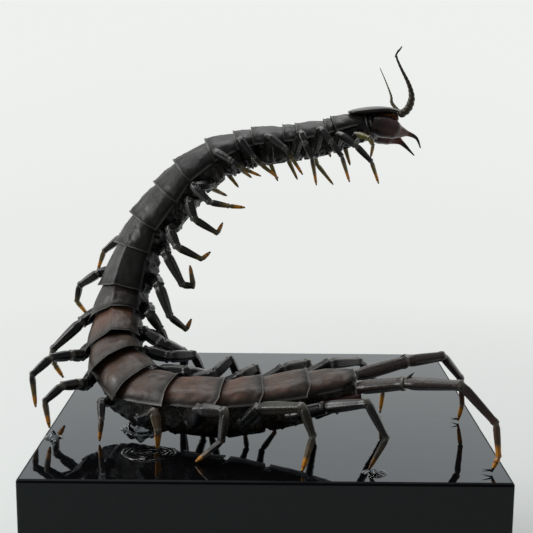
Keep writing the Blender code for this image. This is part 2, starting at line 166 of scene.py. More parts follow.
LEFT_LEGS: dict[int, tuple[float, list[Point]]] = {
    1: (0.9, [(24.5, 19.0, 79.0), (27.0, 20.0, 76.5), (27.5, 19.0, 74.0)]),
    2: (1.3, [(20.5, 20.0, 79.0), (23.0, 20.5, 76.5), (25.0, 19.0, 70.0)]),
    3: (1.3, [(15.5, 20.5, 78.0), (18.0, 21.0, 75.0), (19.0, 18.5, 72.5)]),
    4: (1.3, [(9.5, 21.0, 77.5), (13.5, 21.5, 73.5), (15.0, 21.0, 70.0), (20.0, 19.0, 64.0)]),
    5: (1.3, [(2.0, 21.0, 76.5), (6.0, 21.5, 71.5), (9.0, 19.0, 65.5)]),
    6: (1.3, [(-3.5, 21.0, 75.5), (0.5, 21.5, 70.5), (3.0, 19.0, 65.0)]),
    7: (1.3, [(-11.0, 21.0, 72.5), (-8.5, 21.5, 68.5), (-5.0, 19.0, 66.0)]),
    8: (1.4, [(-18.0, 21.5, 68.5), (-12.5, 21.5, 67.0), (-9.0, 19.0, 63.0)]),
    9: (1.5, [(-24.0, 21.5, 64.5), (-17.5, 21.5, 62.5), (-12.5, 18.0, 60.5)]),
    10: (1.6, [(-33.0, 22.0, 55.0), (-33.0, 23.5, 50.0), (-32.0, 21.0, 45.0)]),
    11: (1.6, [(-45.0, 17.0, 47.5), (-50.5, 18.0, 43.0), (-52.5, 18.0, 37.0)]),
    12: (1.7, [(-51.5, 13.0, 37.0), (-57.5, 14.0, 33.0), (-58.5, 14.0, 28.0), (-55.0, 13.0, 24.0)]),
    13: (2.0, [(-55.0, 2.5, 24.0), (-63.5, 1.0, 16.0), (-63.0, 1.0, 11.5), (-60.5, 1.0, 7.5)]),
    14: (1.9, [
        (-53.0, -8.5, 17.0), (-55.5, -12.0, 18.0), (-60.5, -15.0, 18.0),
        (-65.5, -17.0, 13.5), (-64.5, -18.0, 4.5),
    ]),
    15: (1.9, [
        (-50.0, -19.0, 11.5), (-51.5, -23.5, 13.0), (-55.0, -27.0, 13.5),
        (-59.5, -28.5, 9.5), (-58.0, -30.3, 2.7),
    ]),
    16: (1.4, [(-43.5, -33.0, 11.0), (-43.0, -36.0, 7.0), (-44.0, -34.0, 0.5)]),
    17: (1.75, [(-28.5, -41.5, 11.0), (-27.5, -42.5, 6.5), (-28.0, -39.5, 0.5)]),
    18: (1.9, [(-16.5, -46.5, 13.5), (-10.0, -50.0, 14.0), (-11.0, -50.0, 6.5), (-17.5, -48.5, 0.5)]),
    19: (1.9, [(-1.5, -47.0, 14.0), (9.0, -55.0, 17.0), (11.5, -57.0, 10.5), (9.0, -54.5, 0.5)]),
    20: (1.8, [(15.0, -44.5, 13.8), (25.0, -51.0, 17.0), (29.5, -54.0, 9.0), (25.5, -52.8, 0.5)]),
}
TAIL_LEGS: dict[str, tuple[float, list[Point]]] = {
    "right_leg_21": (1.9, [
        (23.8, -31.8, 18.4), (37.5, -27.0, 21.0), (48.0, -23.0, 21.5),
        (54.0, -19.0, 14.0), (55.0, -17.0, 6.0), (54.5, -14.5, 0.5),
    ]),
    "left_leg_21": (1.9, [
        (23.8, -38.2, 17.0), (35.0, -44.0, 20.0), (48.0, -50.5, 21.5),
        (56.0, -54.0, 13.0), (57.0, -54.0, 4.5), (55.5, -53.5, 0.5),
    ]),
}
# How far the colours of the tip reach up the last legs, against a walking leg.
TAIL_LEG_REACH = {"right_leg_21": 1.5, "left_leg_21": 2.2}

# Base, tip and thickness of the spines and small claws on the last legs.
TAIL_LEG_SPIKES: list[tuple[Point, Point, float]] = [
    ((35.3, -44.2, 20.9), (37.2, -44.6, 23.1), 0.60),
    ((35.8, -27.4, 22.0), (37.3, -27.7, 23.4), 0.38),
    ((55.7, -53.6, 1.0), (52.9, -54.3, 1.3), 0.22),
    ((55.7, -53.4, 0.8), (53.2, -52.9, 0.3), 0.22),
    ((54.6, -14.6, 1.0), (52.2, -15.3, 1.3), 0.22),
    ((54.6, -14.4, 0.8), (52.6, -13.8, 0.3), 0.22),
]
LEG_TAPER = [(0.0, 1.0), (0.3, 0.9), (0.55, 0.67), (0.8, 0.46), (0.95, 0.33), (1.0, 0.14)]

FORCIPULE_RADIUS = 2.9
FORCIPULES: dict[str, list[Point]] = {
    "right_forcipule": [
        (30.3, 7.7, 82.9), (35.6, 7.4, 81.6), (38.0, 7.9, 80.8), (41.2, 8.8, 80.0), (43.6, 9.4, 78.7),
        (44.9, 9.8, 75.9),
    ],
    "left_forcipule": [(30.9, 14.4, 80.8), (36.5, 14.6, 79.0), (40.0, 14.0, 77.0), (43.5, 12.5, 73.5)],
}
FORCIPULE_TAPER = [
    (0.0, 0.84), (0.2, 0.97), (0.38, 0.95), (0.46, 0.70), (0.63, 0.27), (0.84, 0.14), (1.0, 0.06),
]

# Place of the joint between a fang's stout body and its point, as a share of its length.
FORCIPULE_JOINT = 0.43

ANTENNA_RADII = {"right_antenna": 1.25, "left_antenna": 0.60}
ANTENNAE: dict[str, list[Point]] = {
    "right_antenna": [
        (38.9, 7.6, 86.0), (40.4, 7.2, 87.2), (41.2, 6.3, 89.5), (41.2, 6.0, 91.5), (40.2, 5.5, 94.5),
        (37.5, 5.0, 99.5), (36.4, 5.0, 102.4), (37.3, 5.0, 104.0),
    ],
    "left_antenna": [
        (38.6, 14.8, 86.6), (36.8, 15.5, 88.8), (36.5, 16.0, 91.0), (35.0, 17.0, 95.0), (33.5, 18.0, 98.5),
    ],
}
ANTENNA_TAPER = [(0.0, 1.0), (0.2, 0.9), (0.4, 0.55), (0.65, 0.35), (1.0, 0.2)]

LIGHT_AIM = (0.0, 0.0, 0.1)
HEAD_MIDDLE_Y = 11.0
# The head plate from its back edge forward: x, half width, z of its top and underside.
HEAD_SECTIONS = [
    (23.5, 2.4, 86.5, 85.8),
    (25.0, 4.2, 87.0, 85.5),
    (28.0, 5.2, 87.6, 85.4),
    (31.0, 5.3, 87.9, 85.5),
    (34.0, 5.0, 87.9, 85.9),
    (37.0, 3.8, 87.4, 85.8),
    (38.4, 2.0, 86.9, 85.7),
]


class Side(Enum):
    """Which side of the animal a piece is on; the value turns right to left."""

    RIGHT = 1.0
    LEFT = -1.0


class TipLook(Enum):
    """How a leg is coloured: reach of the tip's pattern, its strength, and how mossy the rest is."""

    AMBER = (1.0, 1.0, 0.0)
    LONG_AMBER = (1.3, 1.0, 0.05)
    TALL_AMBER = (1.8, 1.0, 0.0)
    DEEP_AMBER = (1.65, 1.0, 0.0)
    PALE = (1.1, 0.28, 0.0)
    SHORT_AMBER = (0.75, 0.9, 0.0)
    HOOK = (0.75, 0.50, 0.04)
    OLIVE = (0.9, 0.5, 1.0)
    FAR = (0.8, 0.30, 1.0)


LEFT_LOOKS = {17: TipLook.DEEP_AMBER, 18: TipLook.SHORT_AMBER}


def on_block(point: Point) -> Vector:
    """World place of a point in millimetres from the middle of the block's top."""
    x, y, z = point
    return Vector((x * MM, y * MM, BLOCK_HEIGHT + z * MM))


def mix(a: float, b: float, share: float) -> float:
    """Value between two values."""
    return a + (b - a) * share


def bump(distance: float, middle: float, reach: float) -> float:
    """A smooth hump of height 1 round a middle, zero past its reach."""
    x = (distance - middle) / reach
    return (1.0 - x * x) ** 2 if abs(x) < 1.0 else 0.0


def ease(x: float) -> float:
    """Smooth step from 0 to 1."""
    x = min(max(x, 0.0), 1.0)
    return x * x * (3.0 - 2.0 * x)


def taper_at(taper: Sequence[tuple[float, float]], share: float) -> float:
    """Value of a piecewise straight taper at a share of the length."""
    for (s0, v0), (s1, v1) in zip(taper, taper[1:]):
        if share <= s1:
            return mix(v0, v1, (share - s0) / (s1 - s0))
    return taper[-1][1]


def smooth_route(points: Sequence[Vector], steps: int) -> list[Vector]:
    """A smooth curve through points.

    Args:
        points: points that the curve passes through.
        steps: pieces that each stretch between two points is divided into.

    Returns:
        The points of the curve, the first and the last included.
    """
    padded = [points[0] * 2 - points[1], *points, points[-1] * 2 - points[-2]]
    route = []
    for a, b, c, d in zip(padded, padded[1:], padded[2:], padded[3:]):
        for i in range(steps):
            t = i / steps
            route.append(
                0.5 * (2 * b + (c - a) * t + (2 * a - 5 * b + 4 * c - d) * t**2
                       + (3 * b - a - 3 * c + d) * t**3)
            )
    route.append(points[-1])
    return route


def turn(count: int) -> list[float]:
    """Angles of evenly spaced points round a ring."""
    return [2 * math.pi * i / count for i in range(count)]


def distances(route: Sequence[Vector]) -> list[float]:
    """Distance of each point of a route from its start."""
    lengths = [0.0]
    for a, b in zip(route, route[1:]):
        lengths.append(lengths[-1] + (b - a).length)
    return lengths


def lumps(place: Vector, size: float, seed: float) -> float:
    """Smooth random height from -1 to 1 with lumps of about a size in metres."""
    return noise.noise(place / size + Vector((seed, seed * 1.7, seed * 0.3)))


@dataclass
class MeshDraft:
    """Points, faces and named values of a mesh in the making."""

    points: list[Vector] = field(default_factory=list)
    faces: list[tuple[int, ...]] = field(default_factory=list)
    values: dict[str, list[float]] = field(default_factory=dict)

    def add_point(self, place: Vector, **values: float) -> int:
        """Add a point with its named values and return its number."""
        for key in values:
            self.values.setdefault(key, [0.0] * len(self.points))
        self.points.append(place)
        for key, column in self.values.items():
            column.append(values.get(key, 0.0))
        return len(self.points) - 1

    def bridge(self, near: Sequence[int], far: Sequence[int], closed: bool = True) -> None:
        """Join two rows of points by a strip of four-sided faces."""
        count = len(near)
        for i in range(count if closed else count - 1):
            j = (i + 1) % count
            self.faces.append((near[i], near[j], far[j], far[i]))

    def tube(self, rows: Sequence[Sequence[int]]) -> None:
        """Join closed rings, in order, into a tube with capped ends."""
        for near, far in zip(rows, rows[1:]):
            self.bridge(near, far)
        self.faces.append(tuple(reversed(rows[0])))
        self.faces.append(tuple(rows[-1]))

    def shell(self, outer: Sequence[Sequence[int]], inner: Sequence[Sequence[int]]) -> None:
        """Join two grids of points, one over the other, into a closed plate."""
        for near, far in zip(outer, outer[1:]):
            self.bridge(near, far, closed=False)
        for near, far in zip(inner, inner[1:]):
            self.bridge(far, near, closed=False)
        self.bridge(self.border(outer), self.border(inner))

    def loft(self, steps: int, around: int, place: Callable[[float, float], Vector]) -> None:
        """Add a tube of rings with capped ends.

        Args:
            steps: stretches between the first ring and the last.
            around: points in each ring.
            place: point at a share of the tube's length and an angle round it.
        """
        angles = turn(around)
        self.tube([[self.add_point(place(i / steps, a)) for a in angles] for i in range(steps + 1)])

    def plate(self, rows: int, columns: int, at: Callable[[float, float], Cell]) -> None:
        """Add a thin closed plate.

        Args:
            rows: stretches between its front and rear edge.
            columns: stretches between its left and right edge.
            at: outer and inner point, each with its values, at a share of the length and a place
                from -1 to 1 across.
        """
        outer: list[list[int]] = []
        inner: list[list[int]] = []
        for row in range(rows + 1):
            outer.append([])
            inner.append([])
            for column in range(columns + 1):
                (top, top_values), (under, under_values) = at(row / rows, 2.0 * column / columns - 1.0)
                outer[-1].append(self.add_point(top, **top_values))
                inner[-1].append(self.add_point(under, **under_values))
        self.shell(outer, inner)

    @staticmethod
    def border(grid: Sequence[Sequence[int]]) -> list[int]:
        """Numbers of the points round the edge of a grid, in order."""
        left = [row[0] for row in grid[1:-1]]
        right = [row[-1] for row in grid[1:-1]]
        return [*grid[0], *right, *reversed(grid[-1]), *reversed(left)]

    def make(self, name: str, material: Material, sharp_degrees: float = 50) -> bpy.types.Object:
        """Turn the draft into an object of the scene.

        Args:
            name: name of the object and of its mesh.
            material: finish of the whole piece.
            sharp_degrees: edges sharper than this keep a hard shade.

        Returns:
            The new object, at the origin, unturned and unscaled.
        """
        mesh = bpy.data.meshes.new(name)
        mesh.from_pydata([tuple(p) for p in self.points], [], self.faces)
        add_values(mesh, self.values)
        mesh.materials.append(material)
        return show(name, mesh, sharp_degrees)


def add_values(mesh: bpy.types.Mesh, values: dict[str, Sequence[float]]) -> None:
    """Keep named numbers on the points of a mesh."""
    for key, column in values.items():
        mesh.attributes.new(key, "FLOAT", "POINT").data.foreach_set("value", list(column))


def show(name: str, mesh: bpy.types.Mesh, sharp_degrees: float) -> bpy.types.Object:
    """Turn the faces of closed shapes outward, shade the mesh and put it in the scene.

    Args:
        name: name of the new object.
        mesh: the finished mesh.
        sharp_degrees: edges sharper than this keep a hard shade.

    Returns:
        The new object, at the origin, unturned and unscaled.
    """
    bm = bmesh.new()
    bm.from_mesh(mesh)
    bmesh.ops.recalc_face_normals(bm, faces=bm.faces)
    bm.to_mesh(mesh)
    bm.free()
    mesh.shade_smooth()
    mesh.set_sharp_from_angle(angle=math.radians(sharp_degrees))
    obj = bpy.data.objects.new(name, mesh)
    bpy.context.scene.collection.objects.link(obj)
    return obj


def settle(obj: bpy.types.Object, slot: str, *nodes: str) -> bpy.types.Object:
    """Ride a finished piece on the body and hide the solids it stands for.

    Args:
        obj: the finished piece.
        slot: material slot that its finish belongs to; not used.
        nodes: solids that the piece stands for.

    Returns:
        The same piece.
    """
    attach(obj, BODY)
    if nodes:
        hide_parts(*nodes)
    log.info("%s: %d faces", obj.name, len(obj.data.polygons))
    return obj


@dataclass
class NodeSketch:
    """Short calls that add nodes to a node tree and join them."""

    tree: bpy.types.NodeTree

    def add(self, kind: str, inputs: dict[Any, Any] | None = None, **settings: Any) -> bpy.types.Node:
        """Add a node.

        Args:
            kind: type name of the node.
            inputs: value or source socket of each input, by name or number.
            settings: properties of the node.

        Returns:
            The new node.
        """
        node = self.tree.nodes.new(kind)
        for key, value in settings.items():
            setattr(node, key, value)
        for key, value in (inputs or {}).items():
            if isinstance(value, Socket):
                self.join(value, node.inputs[key])
            else:
                node.inputs[key].default_value = value
        return node

    def maths(self, operation: str, *values: Any) -> Socket:
        """Result of a Math node on values or sockets."""
        node = self.add("ShaderNodeMath", dict(enumerate(values)), operation=operation)
        return node.outputs[0]

    def times(self, first: Any, second: Any) -> Socket:
        """Product of two values or sockets."""
        return self.maths("MULTIPLY", first, second)

    def plus(self, first: Any, second: Any) -> Socket:
        """Sum of two values or sockets."""
        return self.maths("ADD", first, second)

    def blend(self, factor: Any, first: Any, second: Any) -> Socket:
        """Mix of two colours by a factor."""
        first, second = [(*c, 1.0) if isinstance(c, tuple) else c for c in (first, second)]
        return self.add("ShaderNodeMix", {0: factor, 6: first, 7: second}, data_type="RGBA").outputs[2]

    def ranged(self, value: Any, low: float, high: float, to_low: float, to_high: float) -> Socket:
        """Value mapped from one range to another and held inside it."""
        node = self.add("ShaderNodeMapRange", {0: value, 1: low, 2: high, 3: to_low, 4: to_high})
        return node.outputs[0]

    def spread(self, share: Any, low: float, high: float) -> Socket:
        """Value between two, at a share from 0 to 1."""
        return self.ranged(share, 0.0, 1.0, low, high)

    def join(self, source: Socket, target: Socket) -> None:
        """Lead an output to an input."""
        self.tree.links.new(source, target)

    def named(self, name: str) -> Socket:
        """Number kept on the mesh under a name."""
        return self.add("ShaderNodeAttribute", attribute_name=name).outputs["Fac"]

    def speckle(self, vector: Any, scale: Any, detail: float = 4.0, roughness: float = 0.55) -> Socket:
        """Smooth noise from 0 to 1."""
        inputs = {"Vector": vector, "Scale": scale, "Detail": detail, "Roughness": roughness}
        return self.add("ShaderNodeTexNoise", inputs).outputs["Fac"]


def open_tree(kind: str, name: str, inputs: SocketTable, outputs: dict[str, str]) -> NodeSketch:
    """Open a node group of its own.

    Args:
        kind: type name of the tree.
        name: name of the group.
        inputs: socket type and first value of each input, by name.
        outputs: socket type of each output, by name.

    Returns:
        A sketch of the group, with nodes named Input and Output.
    """
    tree = bpy.data.node_groups.new(name, kind)
    for key, (socket_type, value) in inputs.items():
        socket = tree.interface.new_socket(key, in_out="INPUT", socket_type=socket_type)
        if value is not None:
            socket.default_value = value
    for key, socket_type in outputs.items():
        tree.interface.new_socket(key, in_out="OUTPUT", socket_type=socket_type)
    sketch = NodeSketch(tree)
    sketch.add("NodeGroupInput", name="Input")
    sketch.add("NodeGroupOutput", name="Output")
    return sketch


class EffectGroups:
    """Node groups that several finishes share. Each is built once."""

    def __init__(self) -> None:
        """Build the groups."""
        self.relief = self.build_relief()
        self.dust = self.build_dust()

    @staticmethod
    def build_relief() -> bpy.types.NodeTree:
        """Leathery relief of dried skin: fine grain over broad puckers, and a mottle for colour."""
        inputs = {
            "Vector": ("NodeSocketVector", None),
            "Grain Scale": ("NodeSocketFloat", 3200.0),
            "Grain Depth": ("NodeSocketFloat", 0.35),
            "Pucker Scale": ("NodeSocketFloat", 420.0),
            "Pucker Depth": ("NodeSocketFloat", 1.0),
        }
        outputs = {"Height": "NodeSocketFloat", "Mottle": "NodeSocketFloat"}
        sketch = open_tree("ShaderNodeTree", "skin_relief", inputs, outputs)
        given = sketch.tree.nodes["Input"].outputs
        grain = sketch.speckle(given["Vector"], given["Grain Scale"], 5.0, 0.65)
        pucker = sketch.speckle(given["Vector"], given["Pucker Scale"], 3.0)
        mottle = sketch.speckle(given["Vector"], 260.0, 4.0, 0.6)
        fine = sketch.times(grain, given["Grain Depth"])
        broad = sketch.times(pucker, given["Pucker Depth"])
        found = sketch.tree.nodes["Output"].inputs
        sketch.join(sketch.plus(fine, broad), found["Height"])
        sketch.join(sketch.ranged(mottle, 0.3, 0.7, 0.0, 1.0), found["Mottle"])
        return sketch.tree

    @staticmethod
    def build_dust() -> bpy.types.NodeTree:
        """Mask of fine dust that settles on faces that look up."""
        inputs = {"Vector": ("NodeSocketVector", None), "Amount": ("NodeSocketFloat", 0.2)}
        sketch = open_tree("ShaderNodeTree", "settled_dust", inputs, {"Mask": "NodeSocketFloat"})
        given = sketch.tree.nodes["Input"].outputs
        specks = sketch.speckle(given["Vector"], 2600.0, 3.0, 0.7)
        clouds = sketch.speckle(given["Vector"], 90.0, 3.0)
        normal = sketch.add("ShaderNodeNewGeometry").outputs["Normal"]
        up = sketch.add("ShaderNodeSeparateXYZ", {0: normal}).outputs["Z"]
        mask = sketch.ranged(specks, 0.52, 0.7, 0.15, 1.0)
        for share in (
            sketch.ranged(up, 0.1, 0.9, 0, 1),
            sketch.ranged(clouds, 0.35, 0.7, 0.2, 1.0),
            given["Amount"],
        ):
            mask = sketch.times(mask, share)
        sketch.join(mask, sketch.tree.nodes["Output"].inputs["Mask"])
        return sketch.tree


def spaced(values: dict[str, Any]) -> dict[str, Any]:
    """The same values under names with spaces for underscores."""
    return {key.replace("_", " "): value for key, value in values.items()}


@dataclass(frozen=True)
class Finish:
    """A material in the making: name, effect groups and the plain settings of its shader."""

    name: str
    groups: EffectGroups
    dust: Colour = (0.35, 0.34, 0.32)

    def start(self, **settings: float) -> tuple[NodeSketch, bpy.types.Node, Socket]:
        """Open the material.

        Args:
            settings: values of the shader's own sockets, with spaces in their names as underscores.

        Returns:
            A sketch of the material, its shader, and object coordinates.
        """
        material = bpy.data.materials.new(self.name)
        material.use_nodes = True
        sketch = NodeSketch(material.node_tree)
        shader = material.node_tree.nodes["Principled BSDF"]
        for key, value in spaced(settings).items():
            shader.inputs[key].default_value = value
        place = sketch.add("ShaderNodeTexCoord").outputs["Object"]
        return sketch, shader, place

    def relief(self, sketch: NodeSketch, place: Socket, **values: float) -> bpy.types.Node:
        """Place the relief group with values for its inputs."""
        inputs = {"Vector": place} | spaced(values)
        return sketch.add("ShaderNodeGroup", inputs, node_tree=self.groups.relief)

    def dusted(self, sketch: NodeSketch, place: Socket, base: Socket, amount: float) -> Socket:
        """Colour with pale dust on the faces that look up."""
        inputs = {"Vector": place, "Amount": amount}
        mask = sketch.add("ShaderNodeGroup", inputs, node_tree=self.groups.dust).outputs["Mask"]
        return sketch.blend(mask, base, self.dust)

    def close(
        self,
        sketch: NodeSketch,
        shader: bpy.types.Node,
        colour: Socket,
        roughness: Socket,
        height: Socket,
        depth: float,
    ) -> Material:
        """Join colour, roughness and a bump to the shader.

        Args:
            sketch: the open material.
            shader: its shader.
            colour: source of the base colour.
            roughness: source of the roughness.
            height: source of the bump's height.
            depth: height in metres that a height of 1 stands for.

        Returns:
            The finished material.
        """
        bumped = sketch.add("ShaderNodeBump", {"Strength": 1.0, "Distance": depth, "Height": height})
        sketch.join(colour, shader.inputs["Base Color"])
        sketch.join(roughness, shader.inputs["Roughness"])
        sketch.join(bumped.outputs["Normal"], shader.inputs["Normal"])
        return bpy.data.materials[self.name]


@dataclass(frozen=True)
class PlateFinish(Finish):
    """Satin dried back plate: charcoal, with brown and red where the mesh says so, and a painted highlight on
    its raised rims.
    """

    charcoal: Colour = (0.0140, 0.0138, 0.0120)
    brown: Colour = (0.078, 0.049, 0.030)
    red: Colour = (0.270, 0.092, 0.040)
    # Pale colour of the rims: a painted highlight.
    rim_highlight: Colour = (0.105, 0.096, 0.082)
    grime: Colour = (0.0075, 0.0072, 0.0060)
    stain: Colour = (0.0050, 0.0048, 0.0038)

    def build(self) -> Material:
        """Build the material."""
        sketch, shader, place = self.start(Coat_Weight=0.06, Coat_Roughness=0.30)
        skin = self.relief(sketch, place)
        mottle = skin.outputs["Mottle"]
        base = sketch.blend(sketch.named("brown"), self.charcoal, self.brown)
        flush = sketch.times(sketch.named("red"), sketch.ranged(mottle, 0.25, 0.85, 0.15, 1.0))
        base = sketch.blend(flush, base, self.red)
        base = sketch.blend(sketch.spread(mottle, 0.0, 0.65), base, self.grime)
        blotch = sketch.ranged(sketch.speckle(place, 170.0, 3.0), 0.48, 0.66, 0.0, 0.60)
        base = sketch.blend(blotch, base, self.stain)
        # Painted highlight: the raised rims, and the small spot on one plate, turn pale.
        edge = sketch.times(sketch.named("rim"), sketch.spread(mottle, 0.35, 0.7))
        base = sketch.blend(edge, base, self.rim_highlight)
        base = self.dusted(sketch, place, base, 0.10)
        rough = sketch.spread(mottle, 0.34, 0.52)
        gloss = sketch.spread(sketch.named("inside"), 0.20, 0.45)
        gloss = sketch.plus(gloss, sketch.times(sketch.named("rim"), 0.5))
        sketch.join(gloss, shader.inputs["Specular IOR Level"])
        return self.close(sketch, shader, base, rough, skin.outputs["Height"], 0.12 * MM)


@dataclass(frozen=True)
class SkinFinish(Finish):
    """Nearly black shrivelled skin between the plates, with paler fibres in its folds."""

    dark: Colour = (0.0026, 0.0025, 0.0023)
    faded: Colour = (0.0065, 0.0055, 0.0042)
    fibre: Colour = (0.140, 0.100, 0.050)

    def build(self) -> Material:
        """Build the material."""
        sketch, shader, place = self.start(Specular_IOR_Level=0.5)
        skin = self.relief(sketch, place, Grain_Depth=0.3, Pucker_Scale=560.0)
        twist = {"Vector": place, "Scale": 700.0, "Detail": 4.0, "Distortion": 1.2}
        threads = sketch.add("ShaderNodeTexNoise", twist).outputs["Fac"]
        line = sketch.maths("ABSOLUTE", sketch.maths("SUBTRACT", threads, 0.5))
        pale = sketch.times(sketch.ranged(line, 0.0, 0.018, 1.0, 0.0), sketch.named("fibre"))
        mottle = sketch.times(skin.outputs["Mottle"], 0.4)
        base = sketch.blend(mottle, self.dark, self.faded)
        base = sketch.blend(pale, base, self.fibre)
        rough = sketch.spread(skin.outputs["Mottle"], 0.18, 0.38)
        return self.close(sketch, shader, base, rough, skin.outputs["Height"], 0.46 * MM)


@dataclass(frozen=True)
class LimbFinish(Finish):
    """Leg skin that turns from its base colour through olive and amber to a dark claw, with painted shade
    near the hip and pale joint rings that are partly a painted highlight.
    """

    base: Colour = (0.0140, 0.0145, 0.0140)
    shade: Colour = (0.0065, 0.0065, 0.0060)
    olive: Colour = (0.180, 0.135, 0.040)
    amber: Colour = (0.74, 0.290, 0.020)
    band: Colour = (0.16, 0.055, 0.010)
    claw: Colour = (0.012, 0.010, 0.009)
    # Pale colour of the joint rings: partly pale joint skin, partly a painted highlight.
    joint: Colour = (0.20, 0.185, 0.155)
    # Near-black colour at the hip: painted shade where the leg goes in under the body.
    hip: Colour = (0.0050, 0.0050, 0.0046)
    moss: Colour = (0.200, 0.175, 0.045)

    def build(self) -> Material:
        """Build the material."""
        sketch, shader, place = self.start(Specular_IOR_Level=0.55, Coat_Weight=0.14, Coat_Roughness=0.22)
        skin = self.relief(sketch, place, Pucker_Scale=900.0, Pucker_Depth=0.8)
        mottle = skin.outputs["Mottle"]
        wobble = sketch.spread(mottle, -0.25, 0.25)
        tip = sketch.plus(sketch.named("tip"), wobble)
        ramp = sketch.add("ShaderNodeValToRGB", {0: sketch.maths("DIVIDE", tip, 10.0)})
        stops = [
            (0.0, self.claw), (0.035, self.claw), (0.050, self.amber), (0.11, self.amber),
            (0.12, self.band), (0.135, self.band), (0.15, self.amber), (0.29, self.amber),
            (0.37, self.olive), (0.56, self.olive), (0.82, self.base),
        ]
        elements = ramp.color_ramp.elements
        while len(elements) < len(stops):
            elements.new(0.5)
        for element, (position, colour) in zip(elements, stops):
            element.position = position
            element.color = (*colour, 1.0)
        plain = sketch.blend(mottle, self.base, self.shade)
        plain = sketch.blend(sketch.named("moss"), plain, self.moss)
        # Painted shade: the articles at the hip turn near-black.
        plain = sketch.blend(sketch.named("hip"), plain, self.hip)
        warmth = sketch.times(sketch.named("warmth"), sketch.ranged(tip, 6.0, 9.0, 1.0, 0.0))
        base = sketch.blend(warmth, plain, ramp.outputs["Color"])
        # Pale joint rings: partly pale joint skin, partly a painted highlight.
        base = sketch.blend(sketch.times(sketch.named("joint"), 0.60), base, self.joint)
        base = self.dusted(sketch, place, base, 0.08)
        rough = sketch.spread(mottle, 0.20, 0.36)
        return self.close(sketch, shader, base, rough, skin.outputs["Height"], 0.09 * MM)


@dataclass(frozen=True)
class FangFinish(Finish):
    """Red-brown fang that darkens to a black point."""

    body: Colour = (0.110, 0.064, 0.064)
    red: Colour = (0.135, 0.040, 0.034)
    point: Colour = (0.014, 0.014, 0.014)

    def build(self) -> Material:
        """Build the material."""
        sketch, shader, place = self.start(Specular_IOR_Level=0.4, Coat_Weight=0.10, Coat_Roughness=0.2)
        skin = self.relief(sketch, place, Pucker_Depth=0.6)
        mottle = skin.outputs["Mottle"]
        tip = sketch.plus(sketch.named("tip"), sketch.spread(mottle, -0.3, 0.3))
        body = sketch.blend(sketch.ranged(tip, 9.6, 10.2, 0.0, 1.0), self.red, self.body)
        body = sketch.blend(sketch.ranged(tip, 11.5, 15.5, 0.0, 1.0), body, (0.010, 0.008, 0.008))
        body = sketch.blend(sketch.times(mottle, 0.4), body, (0.030, 0.014, 0.012))
        base = sketch.blend(sketch.ranged(tip, 4.2, 5.6, 0.0, 1.0), self.point, body)
        base = sketch.blend(sketch.times(sketch.named("joint"), 0.7), base, (0.018, 0.010, 0.009))
        rough = sketch.spread(mottle, 0.26, 0.40)
        return self.close(sketch, shader, base, rough, skin.outputs["Height"], 0.06 * MM)


@dataclass(frozen=True)
class PlainSkinFinish(Finish):
    """Mottled dry skin of two close colours."""

    light: Colour = (0.030, 0.026, 0.024)
    dark: Colour = (0.014, 0.010, 0.009)
    smooth: float = 0.32
    rough: float = 0.50
    coat: float = 0.0
    depth: float = 0.08 * MM

    def build(self) -> Material:
        """Build the material."""
        sketch, shader, place = self.start(Specular_IOR_Level=0.5, Coat_Weight=self.coat, Coat_Roughness=0.2)
        skin = self.relief(sketch, place)
        base = sketch.blend(skin.outputs["Mottle"], self.light, self.dark)
        base = self.dusted(sketch, place, base, 0.06)
        rough = sketch.spread(skin.outputs["Mottle"], self.smooth, self.rough)
        return self.close(sketch, shader, base, rough, skin.outputs["Height"], self.depth)


@dataclass(frozen=True)
class BlackResinFinish(Finish):
    """Cast black resin with a mirror gloss, a matt bevel, faint waves and a few specks."""

    black: Colour = (0.0030, 0.0032, 0.0038)
    swirled: Colour = (0.0036, 0.0034, 0.0037)
    dust: Colour = (0.10, 0.10, 0.10)
    sheen: Colour = (0.70, 0.84, 1.0)

    def build(self) -> Material:
        """Build the material."""
        sketch, shader, place = self.start(IOR=1.73)
        shader.inputs["Specular Tint"].default_value = (*self.sheen, 1.0)
        swirl = sketch.speckle(place, 45.0, 2.0)
        base = sketch.blend(swirl, self.black, self.swirled)
        base = self.dusted(sketch, place, base, 0.015)
        rough = sketch.ranged(sketch.speckle(place, 800.0, 3.0), 0.45, 0.75, 0.015, 0.05)
        normal = sketch.add("ShaderNodeNewGeometry").outputs["Normal"]
        up = sketch.add("ShaderNodeSeparateXYZ", {0: normal}).outputs["Z"]
        slanted = sketch.ranged(up, 0.99, 0.96, 0, 1)
        bevel = sketch.times(sketch.ranged(up, 0.1, 0.3, 0, 0.5), slanted)
        rough = sketch.plus(rough, bevel)
        sketch.join(sketch.ranged(bevel, 0.0, 0.5, 0.5, 0.06), shader.inputs["Specular IOR Level"])
        waves = sketch.speckle(place, 110.0, 2.0)
        return self.close(sketch, shader, base, rough, waves, 0.03 * MM)


@dataclass(frozen=True)
class ClearResinFinish(Finish):
    """Water-clear set resin with faint streaks."""

    def build(self) -> Material:
        """Build the material."""
        sketch, shader, place = self.start(Transmission_Weight=1.0, IOR=1.5)
        cloud = sketch.speckle(place, 500.0, 3.0)
        base = sketch.blend(cloud, (0.93, 0.94, 0.93), (1.0, 1.0, 1.0))
        rough = sketch.ranged(cloud, 0.4, 0.8, 0.0, 0.04)
        return self.close(sketch, shader, base, rough, sketch.speckle(place, 650.0, 2.0), 0.05 * MM)


